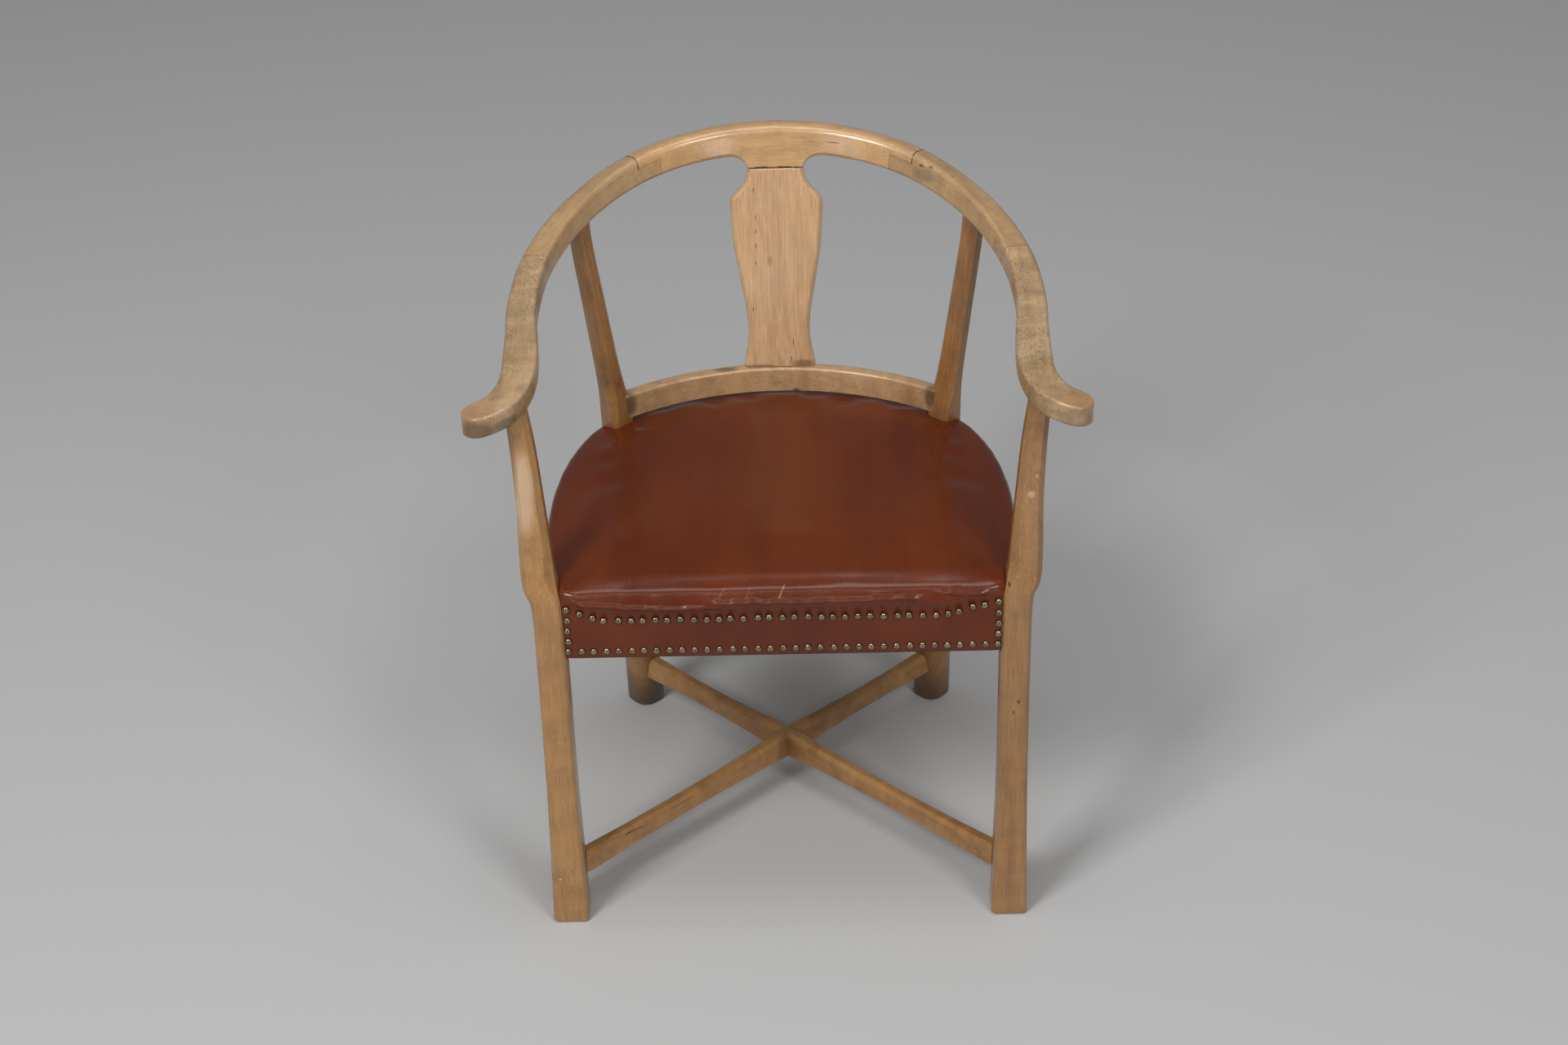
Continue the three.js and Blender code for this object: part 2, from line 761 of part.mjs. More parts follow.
for (const angle of steps(seatArc.end, 0, 6).slice(0, -1)) {
  seatHalf.push([
    seatArc.radius * Math.sin(angle),
    seatArc.centreY + seatArc.radius * Math.cos(angle),
  ]);
}
const seatOutline = [
  [0, seatFrontY],
  ...seatHalf,
  [0, seatBackY],
  ...seatHalf.map(([x, y]) => [-x, y]).reverse(),
];

// Small inward offset that keeps the number of points.
function insetPoints(outline, inset) {
  return outline.map((point, i) => {
    const before = outline[(i + outline.length - 1) % outline.length];
    const after = outline[(i + 1) % outline.length];
    const first = new THREE.Vector2(point[0] - before[0], point[1] - before[1]).normalize();
    const second = new THREE.Vector2(after[0] - point[0], after[1] - point[1]).normalize();
    const inward = new THREE.Vector2(-first.y - second.y, first.x + second.x).normalize();
    const mitre = inset / (inward.x * -first.y + inward.y * first.x);
    return [point[0] + inward.x * mitre, point[1] + inward.y * mitre];
  });
}

// Larger inward offset: what is left of the outline inside every edge moved in.
function insetRegion(outline, inset) {
  let kept = outline;
  outline.forEach((start, i) => {
    const end = outline[(i + 1) % outline.length];
    const length = Math.hypot(end[0] - start[0], end[1] - start[1]);
    const normal = [-(end[1] - start[1]) / length, (end[0] - start[0]) / length];
    const depth = ([x, y]) => (x - start[0]) * normal[0] + (y - start[1]) * normal[1] - inset;
    const clipped = [];
    kept.forEach((point, k) => {
      const next = kept[(k + 1) % kept.length];
      const here = depth(point);
      const there = depth(next);
      if (here >= 0) {
        clipped.push(point);
      }
      if (here * there < 0) {
        const t = here / (here - there);
        clipped.push([point[0] + t * (next[0] - point[0]), point[1] + t * (next[1] - point[1])]);
      }
    });
    kept = clipped;
  });
  return kept;
}

// Seat frame

const frameBottom = frameTop - frameHeight;
const frameMiddle = frameTop - frameHeight / 2;
const frameOuter = hideThickness + fit;
const far = 1000;
const frameInside = prism(
  insetRegion(seatOutline, frameOuter + frameThickness),
  frameBottom - 5,
  frameTop + 5,
);
const frameRing = cut(
  prism(insetRegion(seatOutline, frameOuter), frameBottom, frameTop),
  frameInside,
);
const frontRailBack = seatFrontY + frameOuter + frameThickness;
const rearLegMiddle = rearLegAt(frameMiddle);
// Everything on the front side of a plane through the right rear leg, square to the shoe rail.
const beforeRearLeg = prism(
  [[far, 0], [far, far], [-far, far], [-far, 0]].map(([out, ahead]) => {
    const corner = offset(rearLegMiddle, [rearOutward, out], [rearAcross, ahead]);
    return [corner.x, corner.y];
  }),
  0,
  far,
);
const legInner = kneeX - frontLegWidth / 2;

const railTenonY = seatFrontY + frameOuter + frameThickness / 2 - 1.5;

function frontRailTenon(grow = 0) {
  const from = vector(legInner - 5, railTenonY, frameMiddle);
  const to = vector(legInner + railTenonReach, railTenonY, frameMiddle);
  return bar(from, to, up, railTenonHeight, railTenonThickness, grow);
}

const sideTenonX = kneeX - 8.5;
const sideTenonReach = frontLegDepth - railTenonY - railTenonThickness / 2 - 3;

function sideRailTenon(grow = 0) {
  const from = vector(sideTenonX, frontLegDepth + 5, frameMiddle);
  const to = vector(sideTenonX, frontLegDepth - sideTenonReach, frameMiddle);
  return bar(from, to, up, railTenonHeight, railTenonThickness, grow);
}

// The side rail's rear tenon runs on in the rail's direction, near its outer face.
function sideRearTenon(grow = 0) {
  const end = seatSide.getPoint(1);
  const tangent = seatSide.getTangent(1);
  const along = vector(tangent.x, tangent.y, 0);
  const outward = vector(tangent.y, -tangent.x, 0);
  const inset = frameOuter + rearTenonThickness / 2 + 2;
  const line = offset(vector(end.x, end.y, frameMiddle), [outward, -inset]);
  const from = offset(line, [along, -4]);
  const to = offset(line, [along, 6 + rearTenonReach]);
  return bar(from, to, up, rearTenonHeight, rearTenonThickness, grow);
}

function rearRailTenon(grow = 0) {
  const line = offset(rearLegMiddle, [rearOutward, -6]);
  const face = rearLegSide / 2;
  const from = offset(line, [rearAcross, -face - 6]);
  const to = offset(line, [rearAcross, -face + rearTenonReach]);
  return bar(from, to, up, rearTenonHeight, rearTenonThickness, grow);
}

// Corner blocks, each with a screw into both of its rails

const blockBottom = frameMiddle - blockHeight / 2;
const blockTop = frameMiddle + blockHeight / 2;
const blockRoom = prism(
  insetRegion(seatOutline, frameOuter + frameThickness + fit),
  blockBottom,
  blockTop,
);

function frontBlockBody() {
  const corner = [legInner + 10, frontRailBack - 10];
  const outline = [
    [corner[0] - blockLength - 20, corner[1]],
    corner,
    [corner[0], corner[1] + blockLength + 20],
  ];
  return common(prism(outline, blockBottom, blockTop), blockRoom);
}

function rearBlockBody() {
  const inner = offset(rearLegMiddle, [rearOutward, -rearLegSide / 2 - rearBlockDepth / 2]);
  const from = offset(inner, [rearAcross, -rearBlockHalf - 30]);
  const to = offset(inner, [rearAcross, rearBlockHalf + 30]);
  return common(bar(from, to, up, blockHeight, rearBlockDepth), blockRoom);
}

// The screw's head sits in a bore that stays open towards the inside of the seat.
function blockScrew(face, outward, grow = 0) {
  const seat = offset(face, [outward, -screwGrip]);
  const tip = offset(seat, [outward, screwLength]);
  const top = offset(seat, [outward, -screwHeadHeight - (grow > 0 ? 40 : 0)]);
  const shank = peg(offset(seat, [outward, -1]), tip, screwRadius, grow, 6);
  return join(shank, peg(top, seat, screwHeadRadius, grow, 6));
}

function towardsOutline(share) {
  const here = seatSide.getPoint(share);
  const tangent = seatSide.getTangent(share);
  const outward = vector(tangent.y, -tangent.x, 0).normalize();
  const depth = frameOuter + frameThickness;
  return [offset(vector(here.x, here.y, frameMiddle), [outward, -depth]), outward];
}

function towardsBack(angle) {
  const outward = vector(Math.sin(angle), Math.cos(angle), 0);
  const radius = seatArc.radius - frameOuter - frameThickness;
  return [offset(vector(0, seatArc.centreY, frameMiddle), [outward, radius]), outward];
}

const screwPlaces = {
  block_screw_front: [vector(legInner - 32, frontRailBack, frameMiddle), vector(0, -1, 0)],
  block_screw_side_front: towardsOutline(0.13),
  block_screw_side_rear: towardsOutline(0.86),
  block_screw_rear: towardsBack(seatArc.end - 0.14),
};
const screwBores = Object.values(screwPlaces).map((place) => blockScrew(...place, fit));

// Stretchers, from each front leg's middle to the rear leg across from it

const frontStretcherEnd = vector(frontLegX, frontFootDepth / 2, stretcherHeight);
const rearStretcherEnd = rearLegAt(stretcherHeight);

// Share of the length from front to back: width and height, as shares of the end's.
const stretcherRows = [
  [0, 1, 1],
  [0.06, 1, 1],
  [0.15, 0.92, 0.89],
  [0.27, 0.88, 0.85],
  [0.4, 0.91, 0.88],
  [0.5, 0.97, 1],
  [0.55, 1, 1.18],
  [0.612, 1, 1.18],
  [0.662, 0.97, 1],
  [0.76, 0.9, 0.87],
  [0.86, 0.91, 0.86],
  [0.95, 1, 0.98],
  [1, 1, 1],
];
const stretcherRound = 4;

// The right-front to left-rear bar.
function stretcherBody(grow = 0) {
  const from = frontStretcherEnd;
  const to = vector(-rearStretcherEnd.x, rearStretcherEnd.y, rearStretcherEnd.z);
  const axis = to.clone().sub(from).normalize();
  const across = vector(axis.y, -axis.x, 0);
  return loft(stretcherRows.map(([share, width, height]) => {
    const outline = section(
      stretcherWidth * width + 2 * grow,
      stretcherDepth * height + 2 * grow,
      [1.5, 1.5, stretcherRound, stretcherRound].map((r) => r + grow),
      1,
    );
    return ring(from.clone().lerp(to, share), across, up, outline);
  }));
}

function stretcherTenon(atFront, grow = 0) {
  const front = frontStretcherEnd;
  const rear = vector(-rearStretcherEnd.x, rearStretcherEnd.y, rearStretcherEnd.z);
  const [end, other] = atFront ? [front, rear] : [rear, front];
  const inward = other.clone().sub(end).normalize();
  const half = (atFront ? frontFootWidth : rearFootSide) / 2;
  const from = offset(end, [inward, half + 8]);
  const to = offset(end, [inward, half - stretcherTenonReach]);
  return bar(from, to, up, stretcherTenonHeight, stretcherTenonWidth, grow);
}

// Hide and stuffing: upright sides, a rolled edge, then a low crown

const crownY = (seatFrontY + seatBackY) / 2 - 2;
const edgeRows = [[0, 0], [1.2, 0.45], [4, 0.79], [9, 1]];
const crownRows = [[0.92, 0.28], [0.8, 0.55], [0.6, 0.8], [0.34, 0.96], [0.1, 1]];

function seatRings(inset, lowered, bottom) {
  const lift = (y) => Math.max(y - crownY, 0) * (seatRearLift / (seatBackY - crownY));
  const level = (outline, z) => outline.map(([x, y]) => vector(x, y, z + lift(y)));
  const [firstRolled, firstRise] = edgeRows[1];
  const above = Math.max(bottom - frameTop, 0) / (firstRise * seatEdgeRise - lowered);
  const start = insetPoints(seatOutline, inset + firstRolled * above);
  const rings = [start.map(([x, y]) => vector(x, y, bottom))];
  for (const [rolled, rise] of edgeRows) {
    const drop = rise === 0 ? 0 : lowered;
    const outline = insetPoints(seatOutline, inset + rolled);
    const z = frameTop + rise * seatEdgeRise - drop;
    if (z > bottom + 0.5) {
      rings.push(outline.map(([x, y]) => vector(x, y, z + rise * lift(y))));
    }
  }
  const edge = insetPoints(seatOutline, inset + edgeRows.at(-1)[0]);
  for (const [scale, rise] of crownRows) {
    const shrunk = edge.map(([x, y]) => [x * scale, crownY + (y - crownY) * scale]);
    rings.push(level(shrunk, frameTop + seatEdgeRise + rise * seatCrown - lowered));
  }
  return rings;
}

const strapLevel = frameTop + fit + strapThickness / 2;
const stuffingBottom = strapLevel + strapWave + strapThickness / 2 + fit;
const hideBottom = frameBottom - hideBelowFrame;

// Straps: each lies flat over the rails at its ends and weaves over and under in between.
const strapLanding = frameThickness + 4;

function strap(isLong, place, ends, crossings, startsOver) {
  const point = (along, z) => (isLong ? vector(place, along, z) : vector(along, place, z));
  const stations = [[ends[0], 0], [ends[0] + strapLanding, 0]];
  crossings.forEach((crossing, i) => {
    const side = (i % 2 === 0) === startsOver ? strapWave : -strapWave;
    stations.push([crossing - strapWidth / 2, side], [crossing + strapWidth / 2, side]);
  });
  stations.push([ends[1] - strapLanding, 0], [ends[1], 0]);
  const across = isLong ? sideways : vector(0, 1, 0);
  const half = strapWidth / 2 - 0.5;
  const thin = strapThickness / 2;
  const outline = [[-half, -thin], [half, -thin], [half, thin], [-half, thin]];
  return loft(stations.map(([along, wave]) => {
    return ring(point(along, strapLevel + wave), across, up, outline);
  }));
}

function sideReach(y) {
  const right = seatSide.getPoints(48);
  const i = right.findIndex((p) => p.y > y);
  const t = (y - right[i - 1].y) / (right[i].y - right[i - 1].y);
  return right[i - 1].x + t * (right[i].x - right[i - 1].x);
}

function longEnds(x) {
  const radius = seatArc.radius - frameOuter - strapEndInset + 3;
  return [
    seatFrontY + frameOuter + strapEndInset - 3,
    seatArc.centreY + Math.sqrt(radius * radius - x * x),
  ];
}

// Nails

function nailHead(base, outward) {
  const across = Math.abs(outward.z) > 0.9 ? sideways : up.clone().cross(outward).normalize();
  const along = outward.clone().cross(across);
  const rim = ring(base, across, along, circle(nailRadius, 6));
  const crown = offset(base, [outward, nailHeight]);
  return pointed(rim, crown);
}

// A row of heads on a thin strip; each place is a point on the hide and its outward direction.
function nailRow(places, stripAlong) {
  const seated = places.map(([point, outward]) => [offset(point, [outward, fit]), outward]);
  const half = nailStripWidth / 2;
  const low = nailStripLift;
  const high = nailStripLift + nailStripThickness;
  const outline = [[-half, low], [half, low], [half, high], [-half, high]];
  const strip = loft(seated.map(([base, outward]) => ring(base, stripAlong, outward, outline)));
  return join(strip, ...seated.map((place) => nailHead(...place)));
}

const forward = vector(0, -1, 0);
const nailLineX = legInner - nailSideEdge;
const nailBottomRow = hideBottom + nailEdge;
const frontNailXs = steps(-nailLineX, nailLineX, nailsPerRow - 1);

// Distance from the corner nail: share of the rise. The two ends of the row differ.
const leftRise = [[0, 1], [12, 0.62], [27, 0.2], [42, 0]];
const rightRise = [[0, 1], [13, 0.83], [27, 0.63], [40, 0.22], [55, 0]];

function topRowHeight(x) {
  const rise = between(x < 0 ? leftRise : rightRise, nailLineX - Math.abs(x))[0];
  return nailTopRow + nailTopRise * rise;
}

const sideNailInset = nailRadius + 8;
const sideNailLength = seatSide.getLength();
const sideNailShares = steps(
  sideNailInset / sideNailLength,
  1 - sideNailInset / 2 / sideNailLength,
  Math.round((sideNailLength - 1.5 * sideNailInset) / nailPitch),
);
const legAtNails = rearLegAt(nailBottomRow);
const rearNailEnd = Math.atan2(legAtNails.x, legAtNails.y - seatArc.centreY)
  - (rearFootSide / 2 + nailRadius + 3) / seatArc.radius;
const rearNailAngles = steps(
  -rearNailEnd,
  rearNailEnd,
  Math.round((2 * rearNailEnd * seatArc.radius) / nailPitch),
);

// The hide is made of straight stretches, so each nail stands on the stretch that it meets.
function onHide(x, y) {
  let best = null;
  seatOutline.forEach((start, i) => {
    const end = seatOutline[(i + 1) % seatOutline.length];
    const length = Math.hypot(end[0] - start[0], end[1] - start[1]);
    const along = [(end[0] - start[0]) / length, (end[1] - start[1]) / length];
    const reach = (x - start[0]) * along[0] + (y - start[1]) * along[1];
    const t = THREE.MathUtils.clamp(reach, 0, length);
    const foot = [start[0] + t * along[0], start[1] + t * along[1]];
    const distance = Math.hypot(x - foot[0], y - foot[1]);
    if (best === null || distance < best.distance) {
      best = { distance, foot, outward: vector(along[1], -along[0], 0) };
    }
  });
  const point = vector(best.foot[0], best.foot[1], nailBottomRow);
  return [point, best.outward];
}

// Assembly

const woodLight = { color: 0xb8946b, roughness: 0.5, metalness: 0 };
const woodLeg = { color: 0xa8835a, roughness: 0.52, metalness: 0 };
const woodDark = { color: 0x876342, roughness: 0.6, metalness: 0 };
const woodInside = { color: 0xc0a47c, roughness: 0.8, metalness: 0 };
const leather = { color: 0x6a3520, roughness: 0.42, metalness: 0 };
const stuffing = { color: 0xcbbf9e, roughness: 0.95, metalness: 0 };
const jute = { color: 0xa58a5c, roughness: 0.9, metalness: 0 };
const brass = { color: 0x9c8250, roughness: 0.38, metalness: 0.9 };
const steel = { color: 0x8d8f92, roughness: 0.4, metalness: 0.9 };

const chair = new THREE.Group();

function piece(name, geometry, look) {
  const faceted = geometry.toNonIndexed();
  faceted.computeVertexNormals();
  const mesh = new THREE.Mesh(faceted, new THREE.MeshStandardMaterial(look));
  mesh.name = name;
  chair.add(mesh);
}

function pair(name, rightGeometry, look) {
  piece(`${name}_right`, rightGeometry, look);
  piece(`${name}_left`, mirrored(rightGeometry), look);
}

const crestDowelBore = lapDowel(crestEnd, fit);
const armDowelBore = lapDowel(armStart, fit);
const rearPostBore = postTenon(rearPostTop, fit);
const frontPostBore = postTenon(frontPostTop, fit);

piece('crest_rail', cut(
  railBody(crestStations, 0, true),
  underLap(crestEnd),
  mirrored(underLap(crestEnd)),
  crestDowelBore,
  mirrored(crestDowelBore),
  belowTongue(),
  splatTopTenon(fit),
), woodLight);
pair('shoulder_rail', cut(
  railBody(shoulderStations),
  overLap(crestEnd),
  underLap(armStart),
  crestDowelBore,
  armDowelBore,
  rearPostBore,
), woodLight);
pair('arm', cut(
  railBody(armStations),
  overLap(armStart),
  armDowelBore,
  frontPostBore,
), woodLight);
pair('crest_dowel', lapDowel(crestEnd), woodInside);
pair('arm_dowel', lapDowel(armStart), woodInside);

piece('back_splat', join(splatBody(), splatTopTenon(), splatFootTenon()), woodLight);
const rearLegGrown = rearLegBody(fit);
const rearLegWide = rearLegBody(fit, frameThickness);
piece('shoe_rail', cut(
  join(
    cut(shoeBody(), rearLegWide, mirrored(rearLegWide)),
    shoeTenon(),
    mirrored(shoeTenon()),
  ),
  splatFootTenon(fit),
), woodLeg);

pair('rear_leg', cut(
  join(
    cut(rearLegBody(), railBody(shoulderStations, fit)),
    postTenon(rearPostTop),
  ),
  shoeTenon(fit),
  sideRearTenon(fit),
  rearRailTenon(fit),
  mirrored(stretcherTenon(false, fit)),
), woodDark);
const frontLegGrown = frontLegBody(fit);
pair('front_leg', cut(
  join(
    cut(frontLegBody(), railBody(armStations, fit)),
    postTenon(frontPostTop),
  ),
  frontRailTenon(fit),
  sideRailTenon(fit),
  stretcherTenon(true, fit),
), woodLeg);

const barOver = stretcherBody();
const barUnder = mirrored(barOver);
const grownOver = stretcherBody(fit);
const grownUnder = mirrored(grownOver);
const lapHalf = 60;
const lapY = frontStretcherEnd.y
  + ((rearStretcherEnd.y - frontStretcherEnd.y) * frontStretcherEnd.x)
  / (frontStretcherEnd.x + rearStretcherEnd.x);
const lapArea = [-lapHalf, lapHalf, lapY - lapHalf, lapY + lapHalf];
const belowLap = box(...lapArea, 0, stretcherHeight + fit / 2);
const aboveLap = box(...lapArea, stretcherHeight - fit / 2, 2 * stretcherHeight);
const legsAtStretcher = [frontLegGrown, mirrored(rearLegGrown)];
const overTenons = [stretcherTenon(true), stretcherTenon(false)];
piece('stretcher_over', join(
  cut(barOver, common(grownUnder, belowLap), ...legsAtStretcher),
  ...overTenons,
), woodDark);
piece('stretcher_under', join(
  cut(barUnder, common(grownOver, aboveLap), ...legsAtStretcher.map(mirrored)),
  ...overTenons.map(mirrored),
), woodDark);

const frontRailBody = cut(
  common(frameRing, box(-far, far, -far, frontRailBack, 0, far)),
  frontLegGrown,
  mirrored(frontLegGrown),
);
piece('front_seat_rail', cut(
  join(frontRailBody, frontRailTenon(), mirrored(frontRailTenon())),
  screwBores[0],
  mirrored(screwBores[0]),
), woodInside);
const sideRailBody = cut(
  common(frameRing, beforeRearLeg, box(0, far, frontLegDepth + fit, far, 0, far)),
  rearLegWide,
  frontLegGrown,
);
pair('side_seat_rail', cut(
  join(sideRailBody, sideRailTenon(), sideRearTenon()),
  screwBores[1],
  screwBores[2],
), woodInside);
const rearRailBody = cut(
  common(frameRing, box(-far, far, crownY, far, 0, far)),
  beforeRearLeg,
  mirrored(beforeRearLeg),
  rearLegWide,
  mirrored(rearLegWide),
);
piece('rear_seat_rail', cut(
  join(rearRailBody, rearRailTenon(), mirrored(rearRailTenon())),
  screwBores[3],
  mirrored(screwBores[3]),
), woodInside);

pair('corner_block_front', cut(frontBlockBody(), frontLegGrown, ...screwBores), woodInside);
pair('corner_block_rear', cut(rearBlockBody(), rearLegGrown, ...screwBores), woodInside);
Object.entries(screwPlaces).forEach(([name, place]) => pair(name, blockScrew(...place), steel));

longStraps.forEach((x, i) => {
  const body = strap(true, x, longEnds(Math.abs(x)), crossStraps, i % 2 === 0);
  piece(`webbing_long_${i + 1}`, body, jute);
});
crossStraps.forEach((y, i) => {
  const reach = Math.min(sideReach(y - strapWidth / 2), sideReach(y + strapWidth / 2));
  const end = reach - frameOuter - 4;
  const body = strap(false, y, [-end, end], longStraps, i % 2 === 1);
  piece(`webbing_cross_${i + 1}`, body, jute);
});

const legsGrown = [frontLegGrown, mirrored(frontLegGrown), rearLegGrown, mirrored(rearLegGrown)];
const hideInside = loft(seatRings(hideThickness, hideThickness, hideBottom - 5));
piece('seat_leather', cut(loft(seatRings(0, 0, hideBottom)), hideInside, ...legsGrown), leather);
const padding = loft(seatRings(hideThickness + fit, hideThickness + fit, stuffingBottom));
piece('seat_padding', cut(padding, ...legsGrown), stuffing);

const frontPlaces = (xs, height) => xs.map((x) => [vector(x, seatFrontY, height(x)), forward]);
piece('front_nails_bottom', nailRow(frontPlaces(frontNailXs, () => nailBottomRow), up), brass);
piece('front_nails_top', nailRow(frontPlaces(frontNailXs, topRowHeight), up), brass);
const columnTop = topRowHeight(nailLineX);
const columnHeights = steps(nailBottomRow, columnTop, 4).slice(1, -1);
pair('front_nails', nailRow(
  columnHeights.map((z) => [vector(nailLineX, seatFrontY, z), forward]),
  sideways,
), brass);
pair('side_nails', nailRow(
  sideNailShares.map((share) => {
    const point = seatSide.getPointAt(share);
    return onHide(point.x, point.y);
  }),
  up,
), brass);
piece('rear_nails', nailRow(
  rearNailAngles.map((angle) => onHide(
    seatArc.radius * Math.sin(angle),
    seatArc.centreY + seatArc.radius * Math.cos(angle),
  )),
  up,
), brass);

// The chair stands at the origin: its middle from front to back comes over y = 0.
const extent = new THREE.Box3().setFromObject(chair);
chair.position.y = -(extent.min.y + extent.max.y) / 2;

export default chair;
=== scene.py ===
# %% [markdown]
# # Armchair with a horseshoe rail and a nailed leather seat
# The chair is light hardwood: a bent-looking top rail cut from five boards, a vase-shaped splat, chamfered
# legs and two crossed stretchers. Leather is pulled over the stuffed seat and fixed with domed brass nails.
# The solids are already exact, so this lesson starts from them and gives each piece soft edges and its finish.

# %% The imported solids
import math
import random

import bmesh
import bpy
import numpy as np
from mathutils import Matrix, Vector
from mathutils import noise as field


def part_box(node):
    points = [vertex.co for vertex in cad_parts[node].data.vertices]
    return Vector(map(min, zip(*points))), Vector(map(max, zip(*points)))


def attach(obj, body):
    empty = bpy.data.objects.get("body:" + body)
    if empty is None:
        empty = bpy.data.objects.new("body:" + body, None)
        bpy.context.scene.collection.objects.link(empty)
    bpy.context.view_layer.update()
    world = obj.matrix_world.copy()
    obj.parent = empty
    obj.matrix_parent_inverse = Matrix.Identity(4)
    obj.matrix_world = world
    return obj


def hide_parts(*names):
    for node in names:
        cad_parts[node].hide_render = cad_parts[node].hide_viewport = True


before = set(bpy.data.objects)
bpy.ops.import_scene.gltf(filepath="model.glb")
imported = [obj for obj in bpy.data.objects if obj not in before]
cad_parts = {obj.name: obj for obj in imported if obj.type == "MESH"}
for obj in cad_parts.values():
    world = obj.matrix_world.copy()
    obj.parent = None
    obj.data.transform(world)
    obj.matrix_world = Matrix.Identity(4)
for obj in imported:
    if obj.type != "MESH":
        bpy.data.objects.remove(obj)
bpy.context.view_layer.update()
print("solids:", len(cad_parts))

# %% [markdown]
# ## Where things are
# A joiner measures from the front legs' front face, in millimetres. `place` turns such a measure into the
# scene's metres. The one value read from the solids is where that front face lies.

# %% From workshop measures to the scene
MM = 0.001
leg_low, leg_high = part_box("front_leg_right")
front_face = leg_low[1]
UP = Vector((0, 0, 1))
SIDEWAYS = Vector((1, 0, 0))
BACKWARDS = Vector((0, 1, 0))


def place(x, y, z):
    return Vector((x * MM, front_face + y * MM, z * MM))


print("front face at", round(front_face, 4))

# %% [markdown]
# ## The camera
# The picture was taken from a little above head height with a short telephoto lens, tilted a hair to the
# left. The camera is set first, because every later choice is judged through it.

# %% Camera
camera_data = bpy.data.cameras.new("camera")
camera_data.sensor_width = 36
camera_data.lens = 67.5
camera = bpy.data.objects.new("camera", camera_data)
bpy.context.collection.objects.link(camera)
pitch = math.radians(33)
roll = math.radians(-1.46)
yaw = math.radians(-0.63)
looking = Vector((math.sin(yaw) * math.cos(pitch), math.cos(yaw) * math.cos(pitch), -math.sin(pitch)))
level_right = Vector((math.cos(yaw), -math.sin(yaw), 0))
level_up = level_right.cross(looking)
right = math.cos(roll) * level_right + math.sin(roll) * level_up
above = right.cross(looking)
camera.matrix_world = Matrix.Translation(place(32.3, -2551, 2193)) @ Matrix(
    (right, above, -looking)
).transposed().to_4x4()
bpy.context.scene.camera = camera
print("camera stands at", [round(c, 2) for c in camera.matrix_world.translation])

# %% [markdown]
# ## A plain grey studio
# The floor sweeps up into the backdrop. It is plain grey paper under the same lamps, and it takes the chair's
# shadow.

# %% Room and lights
scene = bpy.context.scene
scene.view_settings.view_transform = "Standard"
world = bpy.data.worlds.new("studio")
scene.world = world
world.use_nodes = True
world.node_tree.nodes["Background"].inputs["Color"].default_value = (0.98, 0.99, 1.0, 1)
world.node_tree.nodes["Background"].inputs["Strength"].default_value = 0.18


def lamp(name, where, target, size, power):
    data = bpy.data.lights.new(name, "AREA")
    data.shape = "RECTANGLE"
    data.size, data.size_y = size
    data.energy = power
    holder = bpy.data.objects.new(name, data)
    bpy.context.collection.objects.link(holder)
    way = Vector(target) - Vector(where)
    holder.matrix_world = Matrix.Translation(where) @ way.to_track_quat("-Z", "Y").to_matrix().to_4x4()


lamp("left", (-2.2, -2.9, 3.9), (0, 0, 0.4), (1.3, 1.3), 115)
lamp("right", (2.0, -3.2, 3.8), (0, 0, 0.4), (1.2, 1.2), 55)
lamp("boom", (0, -3.3, 3.6), (0, 0, 0.4), (2.4, 0.5), 10)
lamp("low left", (-1.7, -3.0, 0.8), (0, 0.2, 0.5), (0.7, 0.9), 5)
lamp("low right", (1.4, -3.1, 0.7), (0, 0.2, 0.5), (0.7, 0.9), 6)
lamp("overhead", (0.1, -0.5, 4.4), (0, 0, 0.4), (2.2, 1.4), 40)
print("lamps:", [data.name for data in bpy.data.lights])

# %% [markdown]
# ## Shader maths as plain expressions
# A wood or leather recipe is easier to read as a formula than as a web of nodes. `Value` wraps one socket
# and adds a Math node for each operator. `Recipe` holds the material and adds every other node.


# %% Value and Recipe
def feed(tree, item, socket):
    if isinstance(item, Value):
        tree.links.new(item.socket, socket)
    elif isinstance(item, (tuple, list)) and socket.type == "RGBA" and len(item) == 3:
        socket.default_value = (*item, 1)
    else:
        socket.default_value = item


class Value:
    def __init__(self, tree, socket):
        self.tree = tree
        self.socket = socket

    def maths(self, operation, *items):
        node = self.tree.nodes.new("ShaderNodeMath")
        node.operation = operation
        for item, socket in zip(items, node.inputs):
            feed(self.tree, item, socket)
        return Value(self.tree, node.outputs[0])

    def __add__(self, other):
        return self.maths("ADD", self, other)

    def __sub__(self, other):
        return self.maths("SUBTRACT", self, other)

    def __rsub__(self, other):
        return self.maths("SUBTRACT", other, self)

    def __mul__(self, other):
        return self.maths("MULTIPLY", self, other)

    def __truediv__(self, other):
        return self.maths("DIVIDE", self, other)

    def clamped(self):
        return self.maths("MINIMUM", self.maths("MAXIMUM", self, 0.0), 1.0)


